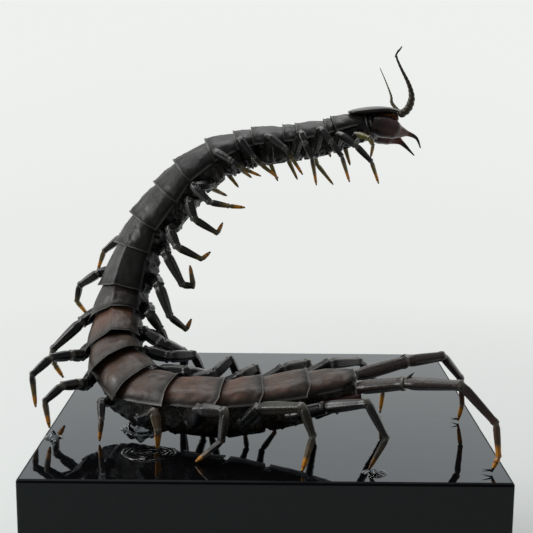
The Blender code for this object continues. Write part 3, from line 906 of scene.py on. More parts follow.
@dataclass(frozen=True)
class PaleFloorFinish(Finish):
    """Plain pale matt board that glows with painted light of its own, more so away from the object and up the
    wall.
    """

    light: Colour = (0.80, 0.82, 0.80)
    glow: Colour = (0.825, 0.840, 0.825)
    glow_from: float = 0.10
    glow_full: float = 0.46
    wall_from: float = 0.75
    wall_top: float = 1.10

    def build(self) -> Material:
        """Build the material."""
        sketch, shader, place = self.start(Specular_IOR_Level=0.0)
        cloud = sketch.speckle(place, 8.0, 2.0)
        away = sketch.add("ShaderNodeVectorMath", {0: place}, operation="LENGTH").outputs["Value"]
        # Painted glow: the board emits light of its own, weak near the object and stronger away from it and
        # up the wall; its own colour fades to black where it glows.
        painted_glow = sketch.ranged(away, self.glow_from, self.glow_full, 0.12, 0.985)
        painted_glow = sketch.plus(painted_glow, sketch.ranged(away, self.wall_from, self.wall_top, 0.0, 0.055))
        sketch.join(painted_glow, shader.inputs["Emission Strength"])
        shader.inputs["Emission Color"].default_value = (*self.glow, 1.0)
        base = sketch.blend(cloud, self.light, tuple(0.985 * c for c in self.light))
        base = sketch.blend(painted_glow, base, (0.0, 0.0, 0.0))
        rough = sketch.spread(cloud, 0.85, 0.95)
        return self.close(sketch, shader, base, rough, cloud, 0.02 * MM)


class Finishes:
    """Every material of the scene, built once."""

    def __init__(self) -> None:
        """Build the materials."""
        groups = EffectGroups()
        self.groups = groups
        self.plate = PlateFinish("dried_back_plate", groups).build()
        self.skin = SkinFinish("shrivelled_skin", groups).build()
        self.leg = LimbFinish("walking_leg_skin", groups).build()
        self.low_leg = LimbFinish(
            "low_leg_skin", groups, base=(0.017, 0.0145, 0.0125), shade=(0.008, 0.007, 0.006),
            olive=(0.145, 0.105, 0.060),
        ).build()
        self.tail_leg = LimbFinish(
            "tail_leg_skin", groups, base=(0.042, 0.027, 0.022), shade=(0.020, 0.014, 0.012),
            olive=(0.085, 0.042, 0.022),
        ).build()
        self.fang = FangFinish("fang", groups).build()
        self.black_resin = BlackResinFinish("black_resin", groups).build()
        self.clear_resin = ClearResinFinish("clear_resin", groups).build()
        self.floor = PaleFloorFinish("pale_floor", groups).build()
        self.build_plain()

    def build_plain(self) -> None:
        """Build the finishes that are two close colours of dry skin, light then dark."""
        plain = self.plain
        self.belly = plain("dried_belly_plate", (0.030, 0.026, 0.024), (0.014, 0.010, 0.009))
        self.head = plain(
            "head_plate", (0.016, 0.014, 0.013), (0.008, 0.007, 0.007),
            smooth=0.26, rough=0.38, coat=0.2, depth=0.04 * MM,
        )
        self.shield = plain(
            "fang_shield", (0.016, 0.013, 0.012), (0.006, 0.005, 0.005), smooth=0.24, coat=0.2
        )
        self.mouth = plain("mouth_parts", (0.30, 0.11, 0.03), (0.09, 0.035, 0.018), depth=0.12 * MM)
        self.right_feeler = plain(
            "right_feeler_skin", (0.070, 0.055, 0.032), (0.022, 0.017, 0.011), smooth=0.34
        )
        self.left_feeler = plain(
            "left_feeler_skin", (0.220, 0.200, 0.100), (0.090, 0.080, 0.040), smooth=0.34
        )
        self.folds = plain(
            "neck_folds", (0.050, 0.047, 0.042), (0.010, 0.009, 0.008), smooth=0.26, depth=0.10 * MM
        )
        self.claw = plain("claw", (0.030, 0.018, 0.014), (0.010, 0.008, 0.008), smooth=0.18, rough=0.30)
        self.eye = plain("eye", (0.02, 0.02, 0.02), (0.014, 0.010, 0.009), smooth=0.08, rough=0.12, coat=0.5)
        self.tail = plain("tail_underside", (0.110, 0.030, 0.024), (0.035, 0.014, 0.012), coat=0.1)
        self.card = plain("dark_card", (0.28, 0.26, 0.215), (0.26, 0.24, 0.20), smooth=0.9, rough=1.0)

    def plain(self, name: str, light: Colour, dark: Colour, **more: float) -> Material:
        """Build one plain skin finish with further values of its fields."""
        return PlainSkinFinish(name, self.groups, light=light, dark=dark, **more).build()


@dataclass(frozen=True)
class BodyFrame:
    """A place along the body: its centre, its own directions and half sizes."""

    centre: Vector
    right: Vector
    dorsal: Vector
    half_width: float
    half_height: float
    drop: float

    def place(self, across: float, up: float) -> Vector:
        """Point at shares of the half width and half height from the centre."""
        if up < 0.0:
            up *= 1.0 + self.drop
        return self.centre + self.right * (across * self.half_width) + self.dorsal * (up * self.half_height)


@dataclass
class Spine:
    """The line of the trunk, as a frame at each joint."""

    joints: list[BodyFrame] = field(default_factory=list)

    def __post_init__(self) -> None:
        """Work out the frame at each joint of the table."""
        centres = [on_block(centre) for centre, _, _ in TRUNK_JOINTS]
        for i, (_, back, width) in enumerate(TRUNK_JOINTS):
            tailward = (centres[min(i + 1, len(centres) - 1)] - centres[max(i - 1, 0)]).normalized()
            dorsal = Vector(back)
            dorsal = (dorsal - tailward * dorsal.dot(tailward)).normalized()
            half = 0.5 * width * MM
            right = dorsal.cross(tailward).normalized()
            drop = BELLY_DROPS.get(i, 0.0)
            self.joints.append(BodyFrame(centres[i], right, dorsal, half, half * TRUNK_HEIGHT_SHARE, drop))

    def between(self, segment: int, along: float) -> BodyFrame:
        """Frame in a segment, at a share of its length that may reach past its ends."""
        a, b = self.joints[segment - 1], self.joints[segment]
        return BodyFrame(
            a.centre + (b.centre - a.centre) * along,
            (a.right + (b.right - a.right) * along).normalized(),
            (a.dorsal + (b.dorsal - a.dorsal) * along).normalized(),
            mix(a.half_width, b.half_width, along),
            mix(a.half_height, b.half_height, along),
            mix(a.drop, b.drop, along),
        )

    def length(self, segment: int) -> float:
        """Length of a segment in metres."""
        return (self.joints[segment].centre - self.joints[segment - 1].centre).length

    @property
    def segments(self) -> range:
        """Numbers of the segments, from 1 at the neck."""
        return range(1, len(self.joints))

    def hip(self, segment: int, side: Side) -> list[Vector]:
        """Start of a leg on the flank, and the end of its short first article."""
        here = self.between(segment, HIP_ALONG)
        outward = here.right * side.value
        start = here.centre + outward * (FLANK_SHARE * here.half_width + GAP)
        start -= here.dorsal * (HIP_DROP * here.half_height)
        return [start, start + outward * COXA_LENGTH]


@dataclass
class BackPlates:
    """The overlapping plates of the back, all on one body.

    A band is the middle and the reach of a ridge or groove. Each dent is the size of its lumps, how
    its seed goes with the plate's number, and its height.
    """

    spine: Spine
    columns: int = 44
    rows: int = 24
    thickness: float = 0.24 * MM
    lead: float = 0.05
    tuck: float = 0.88
    rim_band: tuple[float, float] = (0.10 * MM, 0.24 * MM)
    rim_height: float = 0.10 * MM
    groove_band: tuple[float, float] = (0.55 * MM, 0.35 * MM)
    groove_depth: float = 0.07 * MM
    seam_band: tuple[float, float] = (0.34, 0.05)
    seam_depth: float = 0.10 * MM
    seams_after: int = 3
    dents: tuple[Point, ...] = ((4.2 * MM, 3.1, 1.0), (1.7 * MM, 1.3, 0.50), (0.8 * MM, 2.7, 0.22))
    dent_depth: float = 0.29 * MM

    @staticmethod
    def rise(across: float, roof: float) -> float:
        """Height of the plate's cross-section at a share of the half width."""
        reach = abs(across)
        arched = 1.0 - 0.66 * reach**3.4
        folded = 1.15 - 0.42 * reach - 0.39 * reach**4
        return mix(arched, folded, roof)

    def surface(self, segment: int, across: float, share: float) -> tuple[Vector, float, float]:
        """Point of a plate's outer face.

        Args:
            segment: number of the plate.
            across: place from the left edge (-1) to the right edge (1).
            share: place from the front edge (0) to the rear edge (1).

        Returns:
            The point, how far it is on the raised rim (also the mask of the painted rim highlight), and how
            far inside the border, from 0 to 1.
        """
        length = self.spine.length(segment)
        over = OVERLAPS.get(segment, COMMON_OVERLAP) * MM / length
        corner = CORNER_CUT.get(segment, COMMON_CUT) * ease((abs(across) - 0.70) / 0.30)
        lead = -FIRST_PLATE_START if segment == 1 else self.lead
        along = -lead + share * (1.0 + lead + over - corner * share**4)
        here = self.spine.between(segment, along)
        drawn = mix(self.tuck, 1.0, ease(share * 1.6)) + PLATE_FLARE.get(segment, COMMON_FLARE) * share**6
        if segment == 1:
            drawn += FIRST_PLATE_LIFT * (1.0 - share)
        narrow = 1.0 - TAIL_PLATE_NARROWING * share**2 if segment == TAIL_PLATE else 1.0
        shifted = across - FOLD_PLACES.get(segment, 0.0) * (1.0 - abs(across))
        up = self.rise(shifted, ROOF_PLATES.get(segment, 0.0))
        place = here.place(across * drawn * narrow, up * drawn)
        side_distance = (1.0 - abs(across)) * here.half_width * 1.25
        rear_distance = (1.0 - share) * length
        edge = min(side_distance + 0.8 * MM * (1.0 - ease(share * 3.0)), rear_distance)
        rim = bump(edge, *self.rim_band)
        groove = bump(edge, *self.groove_band)
        calm = ease(edge / (1.6 * MM)) * ease(share * 2.5)
        dent = sum(height * lumps(place, size, segment * seed) for size, seed, height in self.dents)
        seams = bump(abs(across), *self.seam_band) if self.seams_after < segment < TAIL_PLATE else 0.0
        lift = self.rim_height * rim - self.groove_depth * groove + self.dent_depth * dent * calm
        lift -= self.seam_depth * seams * calm
        outward = (here.dorsal + here.right * (across**3 * 1.2)).normalized()
        inside = ease((edge - 0.5 * MM + 0.5 * MM * lumps(place, 1.8 * MM, segment)) / (1.7 * MM))
        # Small pale spot on one plate: a painted highlight, carried by the rim mask.
        if segment == HIGHLIGHT_SPOT_PLATE:
            spot = bump(math.hypot((across + 0.62) / 0.17, (share - 0.72) / 0.15), 0.0, 1.0)
            rim = max(rim, 1.6 * spot * ease(0.5 + 1.5 * lumps(place, 0.9 * MM, 6.0)))
        return place + outward * lift, rim, inside

    def build(self, finishes: Finishes) -> bpy.types.Object:
        """Build every plate and ride them on the body."""
        draft = MeshDraft()
        for segment in self.spine.segments:
            draft.plate(self.rows, self.columns, partial(self.cell, segment))
        return settle(draft.make("back_plates", finishes.plate), "plate", "trunk")

    def cell(self, segment: int, s: float, t: float) -> Cell:
        """Outer and inner point of a plate and their colour masks, closer together near its edges."""
        share = 1.0 - (1.0 - s) ** 1.4
        across = 0.5 * t + 0.5 * math.sin(0.5 * math.pi * t)
        place, rim, inside = self.surface(segment, across, share)
        rear = ease((share - 0.40) / 0.45)
        values = {
            # The rim mask also carries the painted highlight of the rims.
            "rim": rim,
            "brown": PLATE_BROWN[segment - 1] * mix(0.15, 1.0, inside) * mix(1.0, 0.62, rear),
            "red": PLATE_RED[segment - 1] * inside**2 * mix(1.0, 0.25, rear),
            "inside": inside,
        }
        here = self.spine.between(segment, share)
        inward = (here.dorsal + here.right * (across**3 * 1.6)).normalized() * self.thickness
        return (place, values), (place - inward, values | {"rim": 0.0})


@dataclass
class BellyPlates:
    """The flat plates of the belly."""

    spine: Spine
    columns: int = 18
    rows: int = 10
    thickness: float = 0.30 * MM
    half_reach: float = 0.56
    level: float = -1.23

    def build(self, finishes: Finishes) -> bpy.types.Object:
        """Build every belly plate."""
        draft = MeshDraft()
        for segment in self.spine.segments:
            draft.plate(self.rows, self.columns, partial(self.cell, segment))
        return settle(draft.make("belly_plates", finishes.belly), "plate")

    def cell(self, segment: int, share: float, t: float) -> Cell:
        """Outer and inner point of a plate, with no colour masks."""
        corner = 0.06 * abs(t) ** 6
        here = self.spine.between(segment, mix(0.10 + corner, 0.98 - corner, share))
        bulge = 0.03 * (1.0 - t * t) * math.sin(math.pi * share)
        crease = 0.03 * bump(abs(t), 0.45, 0.10)
        place = here.place(t * self.half_reach, self.level - bulge + crease + 0.05 * t**4)
        place -= here.dorsal * (0.12 * MM * lumps(place, 2.0 * MM, segment))
        return (place, {}), (place + here.dorsal * self.thickness, {})


@dataclass
class SoftSkin:
    """The shrivelled skin of the flanks and belly, under the plates."""

    spine: Spine
    around: int = 72
    steps: int = 14
    outline: tuple[tuple[float, float], ...] = (
        (0.0, 0.74), (0.45, 0.67), (0.70, 0.46), (0.82, 0.24), (0.84, 0.00), (0.84, -0.40),
        (0.80, -0.82), (0.52, -1.14), (0.0, -1.18),
    )
    end_rings: tuple[tuple[float, float], ...] = ((0.86, 0.35), (0.62, 0.8), (0.258, 1.155))
    pinch: float = 0.10
    pinch_reach: float = 0.16
    hang: float = 0.55
    tail_slimming: float = 0.22
    hip_swelling: float = 1.5 * MM
    fold_depth: float = 0.16 * MM

    def ring_shares(self) -> list[tuple[float, float]]:
        """The outline divided evenly into points, right side first."""
        half = [Vector((u, v, 0.0)) for u, v in self.outline]
        loop = half + [Vector((-p.x, p.y, 0.0)) for p in reversed(half[1:-1])]
        smooth = smooth_route([*loop, loop[0]], 8)[:-1]
        lengths = distances([*smooth, smooth[0]])
        shares = []
        index = 0
        for i in range(self.around):
            goal = lengths[-1] * i / self.around
            while lengths[index + 1] < goal:
                index += 1
            t = (goal - lengths[index]) / (lengths[index + 1] - lengths[index])
            point = smooth[index].lerp(smooth[(index + 1) % len(smooth)], t)
            shares.append((point.x, point.y))
        return shares

    def build(self, finishes: Finishes) -> bpy.types.Object:
        """Build the skin as one long tube with swollen hips and pinched joints."""
        draft = MeshDraft()
        shares = self.ring_shares()
        rows: list[list[int]] = []
        last = self.spine.segments[-1]
        for segment in self.spine.segments:
            for step in range(self.steps + (1 if segment == last else 0)):
                along = step / self.steps
                rows.append(self.ring(draft, shares, segment, along))
        end = self.spine.joints[-1].centre
        tail = (end - self.spine.joints[-2].centre).normalized()
        rim = [draft.points[i] for i in rows[-1]]
        for shrink, out in self.end_rings:
            centre = end + tail * (out * MM)
            rows.append([draft.add_point(centre + (p - end) * shrink, fibre=0.2) for p in rim])
        draft.tube(rows)
        return settle(draft.make("soft_skin", finishes.skin, 80), "plate")

    def ring(
        self, draft: MeshDraft, shares: Sequence[tuple[float, float]], segment: int, along: float
    ) -> list[int]:
        """Points of one ring of the skin.

        Args:
            draft: mesh that takes the points.
            shares: outline as shares of the half sizes.
            segment: segment that the ring is in.
            along: share of the segment's length.

        Returns:
            Numbers of the new points.
        """
        here = self.spine.between(segment, along)
        pinch = 1.0 - self.pinch * bump(min(along, 1.0 - along), 0.0, self.pinch_reach)
        length = self.spine.length(segment)
        row = []
        sag = mix(SAGS.get(segment - 1, 0.0), SAGS.get(segment, 0.0), ease(along * 2.0))
        for u, v in shares:
            hang = 1.0 + self.hang * sag * ease(-v)
            slim = 1.0 - self.tail_slimming * ease(along) if segment == TAIL_PLATE else 1.0
            place = here.place(u * pinch * slim, v * pinch * hang)
            outward = (place - here.centre).normalized()
            flank = ease((0.45 - v) / 0.35) * ease((v + 1.3) / 0.3)
            belly = ease((-v - 0.85) / 0.2)
            dx = (along - HIP_ALONG) * length / (1.7 * MM)
            dz = (v + HIP_DROP + 0.12) * here.half_height / (1.9 * MM)
            swell = math.exp(-(dx * dx + dz * dz)) * flank
            fold = math.sin(along * 24.0 + 5.0 * lumps(place, 5.0 * MM, 4.0)) * self.fold_depth
            knots = 0.60 * MM * lumps(place, 1.9 * MM, 2.0) + 0.45 * MM * lumps(place, 0.8 * MM, 7.0)
            lift = swell * self.hip_swelling + (fold + knots) * (flank + 0.35 * belly)
            fibre = 0.15 + 0.85 * flank * ease((segment - 14) / 3)
            row.append(draft.add_point(place + outward * lift, fibre=fibre))
        return row


class NodeTrees:
    """Geometry node trees that sweep limbs and string beads. Each is built once."""

    def __init__(self) -> None:
        """Build the trees."""
        self.limb = self.build_limb()
        self.beads = self.build_beads()

    @staticmethod
    def start(name: str, inputs: SocketTable) -> NodeSketch:
        """Open a geometry node tree with these inputs, the geometry and the finish."""
        first, last = ("NodeSocketGeometry", None), ("NodeSocketMaterial", None)
        inputs = {"Geometry": first} | inputs | {"Finish": last}
        return open_tree("GeometryNodeTree", name, inputs, {"Geometry": "NodeSocketGeometry"})

    @staticmethod
    def thickness(sketch: NodeSketch) -> Socket:
        """Thickness that the route's points say."""
        named = sketch.add("GeometryNodeInputNamedAttribute", {"Name": "thickness"}, data_type="FLOAT")
        return named.outputs[0]

    @staticmethod
    def end(sketch: NodeSketch, geometry: Socket, material: Socket) -> bpy.types.NodeTree:
        """Close a tree with realized instances and a material."""
        real = sketch.add("GeometryNodeRealizeInstances", {"Geometry": geometry})
        dressed = sketch.add("GeometryNodeSetMaterial", {"Geometry": real.outputs[0], "Material": material})
        sketch.join(dressed.outputs[0], sketch.tree.nodes["Output"].inputs[0])
        return sketch.tree

    def build_limb(self) -> bpy.types.NodeTree:
        """A ridged round profile swept along a route whose points say how thick it is."""
        inputs = {
            "Sides": ("NodeSocketInt", 24),
            "Ridges": ("NodeSocketInt", 7),
            "Ridge Depth": ("NodeSocketFloat", 0.035),
            "Flatness": ("NodeSocketFloat", 0.9),
        }
        sketch = self.start("ridged_limb", inputs)
        given = sketch.tree.nodes["Input"].outputs
        route = sketch.add("GeometryNodeMeshToCurve", {"Mesh": given["Geometry"]}).outputs[0]
        circle = sketch.add("GeometryNodeCurvePrimitiveCircle", {"Resolution": given["Sides"], "Radius": 1.0})
        index = sketch.add("GeometryNodeInputIndex").outputs[0]
        turn = sketch.maths("DIVIDE", sketch.times(index, 2 * math.pi), given["Sides"])
        wave = sketch.maths("COSINE", sketch.times(turn, given["Ridges"]))
        depth = sketch.times(wave, given["Ridge Depth"])
        place = sketch.add("GeometryNodeInputPosition").outputs[0]
        offset = sketch.add("ShaderNodeVectorMath", {0: place, "Scale": depth}, operation="SCALE").outputs[0]
        moved = {"Geometry": circle.outputs[0], "Offset": offset}
        ridged = sketch.add("GeometryNodeSetPosition", moved).outputs[0]
        squash = sketch.add("ShaderNodeCombineXYZ", {0: 1.0, 1: given["Flatness"], 2: 1.0}).outputs[0]
        flat = sketch.add("ShaderNodeVectorMath", {0: place, 1: squash}, operation="MULTIPLY").outputs[0]
        profile = sketch.add("GeometryNodeSetPosition", {"Geometry": ridged, "Position": flat}).outputs[0]
        sweep = {"Curve": route, "Profile Curve": profile, "Scale": self.thickness(sketch), "Fill Caps": True}
        swept = sketch.add("GeometryNodeCurveToMesh", sweep).outputs[0]
        return self.end(sketch, swept, given["Finish"])

    def build_beads(self) -> bpy.types.NodeTree:
        """Egg-shaped beads strung along a route whose points say how thick they are."""
        inputs = {"Count": ("NodeSocketInt", 17), "Bead Length": ("NodeSocketFloat", 0.8 * MM)}
        sketch = self.start("strung_beads", inputs)
        given = sketch.tree.nodes["Input"].outputs
        route = sketch.add("GeometryNodeMeshToCurve", {"Mesh": given["Geometry"]}).outputs[0]
        spacing = {"Curve": route, "Count": given["Count"]}
        stops = sketch.add("GeometryNodeCurveToPoints", spacing, mode="COUNT").outputs
        bead = sketch.add("GeometryNodeMeshUVSphere", {"Segments": 18, "Rings": 10, "Radius": 1.0}).outputs[0]
        thick = self.thickness(sketch)
        size = sketch.add("ShaderNodeCombineXYZ", {0: thick, 1: thick, 2: given["Bead Length"]}).outputs[0]
        string = {"Points": stops["Points"], "Instance": bead, "Rotation": stops["Rotation"], "Scale": size}
        strung = sketch.add("GeometryNodeInstanceOnPoints", string).outputs[0]
        smooth = sketch.add("GeometryNodeSetShadeSmooth", {"Geometry": strung}).outputs[0]
        return self.end(sketch, smooth, given["Finish"])

    @staticmethod
    def apply(
        name: str,
        route: Sequence[Vector],
        values: dict[str, Sequence[float]],
        tree: bpy.types.NodeTree,
        inputs: dict[str, Any],
    ) -> bpy.types.Object:
        """Run a tree on a route and keep the result as a plain mesh.

        Args:
            name: name of the new object.
            route: points of the route, in order.
            values: named values of each point.
            tree: geometry node tree.
            inputs: values of the tree's inputs, by name.

        Returns:
            The new object, at the origin, with no modifier.
        """
        line = bpy.data.meshes.new(f"{name}_route")
        line.from_pydata([tuple(p) for p in route], [(i, i + 1) for i in range(len(route) - 1)], [])
        add_values(line, values)
        carrier = bpy.data.objects.new(f"{name}_route", line)
        bpy.context.scene.collection.objects.link(carrier)
        modifier = carrier.modifiers.new("shape", "NODES")
        modifier.node_group = tree
        for item in tree.interface.items_tree:
            if item.item_type == "SOCKET" and item.in_out == "INPUT" and item.name in inputs:
                modifier[item.identifier] = inputs[item.name]
        graph = bpy.context.evaluated_depsgraph_get()
        mesh = bpy.data.meshes.new_from_object(carrier.evaluated_get(graph), depsgraph=graph)
        carrier.modifiers.remove(modifier)
        bpy.data.objects.remove(carrier)
        bpy.data.meshes.remove(line)
        mesh.name = name
        return show(name, mesh, SHARP_DEGREES)


@dataclass
class JointedLimb:
    """A leg made of stiff articles with a thin ring of soft skin at each joint."""

    name: str
    points: list[Vector]
    radius: float
    taper: Sequence[tuple[float, float]]
    reach: float = 1.0
    warmth: float = 1.0
    moss: float = 0.0
    shaded_hip_articles: int = 0
    swelling: float = 0.12
    steps: int = 18

    def outline(self, share: float) -> float:
        """Thickness of an article, against the limb's taper, from its near to its far end."""
        waist = 0.76 + 0.24 * ease(share / 0.16)
        belly = self.swelling * math.sin(math.pi * min(share * 1.15, 1.0))
        flare = 0.15 * bump(share, 0.955, 0.08)
        return waist + belly + flare

    def route(self) -> tuple[list[Vector], dict[str, list[float]]]:
        """Points along the limb and their named values.

        Returns:
            The points, and for each its thickness, distance to the tip in mm, and colour masks.
        """
        joints = self.points
        total = sum((b - a).length for a, b in zip(joints, joints[1:]))
        done = 0.0
        places: list[Vector] = []
        thickness: list[float] = []
        joint_mask: list[float] = []
        hip_shade_mask: list[float] = []
        tips: list[float] = []
        for number, (a, b) in enumerate(zip(joints, joints[1:])):
            length = (b - a).length
            last = number == len(joints) - 2
            inset = 0.06 * MM / length
            for step in range(self.steps + 1):
                share = mix(inset, 1.0 - (0.0 if last else inset), step / self.steps)
                along = (done + share * length) / total
                width = self.radius * taper_at(self.taper, along)
                places.append(a + (b - a) * share)
                shape = self.outline(share)
                if last:
                    shape = mix(shape, 1.0, ease(share * 1.4))
                thickness.append(width * shape)
                # Mask of the pale joint rings, partly a painted highlight.
                near = 0.0 if number == 0 else bump(share * length, 0.0, 0.75 * MM)
                far = 0.0 if last else bump((1.0 - share) * length, 0.0, 0.55 * MM)
                # Painted shade over the articles at the hip, fading along the next one.
                dark = 1.0 if number < self.shaded_hip_articles else 0.0
                if number == self.shaded_hip_articles:
                    dark = 0.85 * (1.0 - ease(share * 2.5))
                hip_shade_mask.append(dark * min(self.shaded_hip_articles, 1))
                joint_mask.append(max(near, far) * (1.0 - 0.8 * dark))
                tips.append((total - done - share * length) / MM / self.reach)
            done += length
        values = {
            "thickness": thickness,
            "tip": tips,
            "joint": joint_mask,
            "hip": hip_shade_mask,
            "warmth": [self.warmth] * len(places),
            "moss": [self.moss] * len(places),
        }
        return places, values

    def build(self, trees: NodeTrees, material: Material, **inputs: Any) -> bpy.types.Object:
        """Sweep the limb.

        Args:
            trees: geometry node trees.
            material: finish of the limb.
            inputs: values of the tree's inputs, with spaces in their names as underscores.

        Returns:
            The limb as a plain mesh.
        """
        places, values = self.route()
        settings = {"Finish": material} | spaced(inputs)
        return trees.apply(self.name, places, values, trees.limb, settings)


@dataclass
class Legs:
    """All walking legs and the long last legs."""

    spine: Spine
    trees: NodeTrees
    seat: float = 0.9 * MM
    low_from: int = 15

    @staticmethod
    def look(side: Side, segment: int) -> TipLook:
        """How the tip of a walking leg is coloured."""
        if segment == 1:
            return TipLook.OLIVE
        if side is Side.RIGHT and 9 <= segment <= 13:
            return TipLook.HOOK
        if side is Side.LEFT and segment <= 9:
            return TipLook.FAR
        if side is Side.LEFT and segment in LEFT_LOOKS:
            return LEFT_LOOKS[segment]
        if segment == 20:
            return TipLook.TALL_AMBER if side is Side.RIGHT else TipLook.PALE
        if segment >= 18:
            return TipLook.LONG_AMBER
        return TipLook.AMBER

    def build_side(self, side: Side, poses: dict[int, tuple[float, list[Point]]], finishes: Finishes) -> None:
        """Build the walking legs of one side."""
        for segment, (radius, points) in poses.items():
            hip, coxa = self.spine.hip(segment, side)
            start = hip - (coxa - hip).normalized() * self.seat
            reach, warmth, moss = self.look(side, segment).value
            name = f"{side.name.lower()}_leg_{segment:02d}"
            joints = [start, coxa, *map(on_block, points)]
            limb = JointedLimb(f"{name}_skin", joints, radius * MM, LEG_TAPER, reach, warmth, moss, 2)
            skin = finishes.low_leg if segment >= self.low_from else finishes.leg
            settle(limb.build(self.trees, skin, Ridges=5, Ridge_Depth=0.10), "leg", name)

    def build(self, finishes: Finishes) -> None:
        """Build every leg."""
        self.build_side(Side.RIGHT, RIGHT_LEGS, finishes)
        self.build_side(Side.LEFT, LEFT_LEGS, finishes)
        for name, (radius, points) in TAIL_LEGS.items():
            joints = list(map(on_block, points))
            reach = TAIL_LEG_REACH[name]
            limb = JointedLimb(f"{name}_skin", joints, radius * MM, LEG_TAPER, reach, 0.9, swelling=0.05)
            settle(limb.build(self.trees, finishes.tail_leg, Ridges=4, Ridge_Depth=0.08), "leg", name)
        self.build_spikes(finishes)

    def build_spikes(self, finishes: Finishes) -> None:
        """The spines of the last legs' first articles and the small claws at their feet."""
        draft = MeshDraft()
        for base, tip, radius in TAIL_LEG_SPIKES:
            spike(draft, on_block(base), on_block(tip), radius * MM)
        settle(draft.make("tail_leg_spikes", finishes.claw), "leg")


@dataclass
class Head:
    """Head plate, eyes, mouth parts, fangs and feelers."""

    trees: NodeTrees
    sides: int = 40
    feeler_articles: int = 17
    fold_steps: int = 28
    plate_flatness: float = 0.8
    folds: int = 3
    fold_depth: float = 0.22
    fold_size: tuple[float, float] = (5.05, 4.15)
    fold_span: tuple[float, float] = (27.6, 31.6)
    fold_height: float = 81.9
    eye_places: tuple[tuple[float, float], ...] = ((36.2, 87.0), (36.9, 86.5), (35.5, 86.6), (36.1, 86.1))
    eye_size: Point = (0.26, 0.26, 0.26)

    def build_plate(self, finishes: Finishes) -> None:
        """The flat plate over the head, with a raised rim and a shallow furrow."""
        draft = MeshDraft()
        sections = [Vector((x, w, t)) for x, w, t, _ in HEAD_SECTIONS]
        unders = [Vector((x, w, u)) for x, w, _, u in HEAD_SECTIONS]
        rows = []
        for top, under in zip(smooth_route(sections, 4), smooth_route(unders, 4)):
            row = []
            for angle in turn(self.sides):
                across, up = math.cos(angle), math.sin(angle)
                flat = math.copysign(abs(up) ** self.plate_flatness, up)
                z = 0.5 * (top.z + under.z) + 0.5 * (top.z - under.z) * flat
                z += 0.10 * bump(abs(across), 0.90, 0.12) - 0.06 * bump(abs(across), 0.0, 0.10) * max(up, 0.0)
                row.append(draft.add_point(on_block((top.x, HEAD_MIDDLE_Y + top.y * across, z))))
            rows.append(row)
        draft.tube(rows)
        settle(draft.make("head_plate", finishes.head), "plate", "head")

    def build_eyes(self, finishes: Finishes) -> None:
        """Four small eyes on each side, near the root of the feeler."""
        draft = MeshDraft()
        for side in Side:
            for x, z in self.eye_places:
                width = 5.0 - 0.75 * max(x - 34.5, 0.0)
                ball(draft, (x, HEAD_MIDDLE_Y - side.value * width, z), self.eye_size, 8, 6)
        settle(draft.make("eyes", finishes.eye), "plate")

    def build_mouth(self, finishes: Finishes) -> None:
        """Orange-brown lip and jaws under the front of the head plate."""
        draft = MeshDraft()
        ball(draft, (34.6, HEAD_MIDDLE_Y, 85.6), (3.6, 4.3, 0.50), 32, 20, 0.15)
        ball(draft, (36.4, HEAD_MIDDLE_Y, 85.0), (1.7, 3.0, 0.95), 28, 16, 0.25)
        for side in Side:
            ball(draft, (37.2, HEAD_MIDDLE_Y - 2.0 * side.value, 84.7), (0.9, 0.9, 1.3), 16, 10, 0.15)
        settle(draft.make("mouth_parts", finishes.mouth), "plate")

    def build_fangs(self, finishes: Finishes) -> None:
        """The two fangs and the shield that carries them."""
        for name, points in FORCIPULES.items():
            route = smooth_route([on_block(p) for p in points], 8)
            lengths = distances(route)
            total = lengths[-1]
            values = {
                "thickness": [FORCIPULE_RADIUS * MM * self.fang_width(s / total) for s in lengths],
                "tip": [(total - s) / MM for s in lengths],
                "joint": [bump(s / total, FORCIPULE_JOINT, 0.03) for s in lengths],
            }
            settings = {"Ridges": 3, "Ridge Depth": 0.01, "Flatness": 1.0, "Sides": 32}
            settings["Finish"] = finishes.fang
            fang = self.trees.apply(f"{name}_skin", route, values, self.trees.limb, settings)
            settle(fang, "forcipule", name)
        draft = MeshDraft()
        ball(draft, (28.3, HEAD_MIDDLE_Y, 81.9), (5.6, 5.0, 4.2), 40, 24, 0.15)
        settle(draft.make("fang_shield", finishes.shield), "plate")

    @staticmethod
    def fang_width(share: float) -> float:
        """Thickness of a fang against its radius, swollen where it leaves the shield."""
        return taper_at(FORCIPULE_TAPER, share) + 0.20 * bump(share, 0.12, 0.26)

    def build_folds(self, finishes: Finishes) -> None:
        """The pale folds of skin between the first plate and the fangs."""
        draft = MeshDraft()
        draft.loft(self.fold_steps, self.sides, self.fold_place)
        settle(draft.make("neck_folds", finishes.folds), "plate")

    def fold_place(self, share: float, angle: float) -> Vector:
        """Point of the folds at a share of their length and an angle round the neck."""
        across, up = math.cos(angle), math.sin(angle)
        fold = self.fold_depth * math.cos(2 * math.pi * (self.folds * share + 0.25 * up))
        width, height = (size + fold - 0.5 * share * share for size in self.fold_size)
        x = mix(*self.fold_span, share) - 0.5 * up
        return on_block((x, HEAD_MIDDLE_Y + width * across, self.fold_height + height * up))

    def build_feelers(self, finishes: Finishes) -> None:
        """The beaded feelers."""
        for name, points in ANTENNAE.items():
            route = smooth_route([on_block(p) for p in points], 6)
            lengths = distances(route)
            root = ANTENNA_RADII[name] * MM
            thickness = [root * taper_at(ANTENNA_TAPER, s / lengths[-1]) for s in lengths]
            inputs = {
                "Count": self.feeler_articles,
                "Bead Length": 0.98 * lengths[-1] / (self.feeler_articles - 1),
                "Finish": finishes.right_feeler if name == "right_antenna" else finishes.left_feeler,
            }
            values = {"thickness": thickness}
            piece = self.trees.apply(f"{name}_beads", route, values, self.trees.beads, inputs)
            settle(piece, "antenna", name)

    def build(self, finishes: Finishes) -> None:
        """Build the head."""
        self.build_plate(finishes)
        self.build_eyes(finishes)
        self.build_mouth(finishes)
        self.build_fangs(finishes)
        self.build_folds(finishes)
        self.build_feelers(finishes)


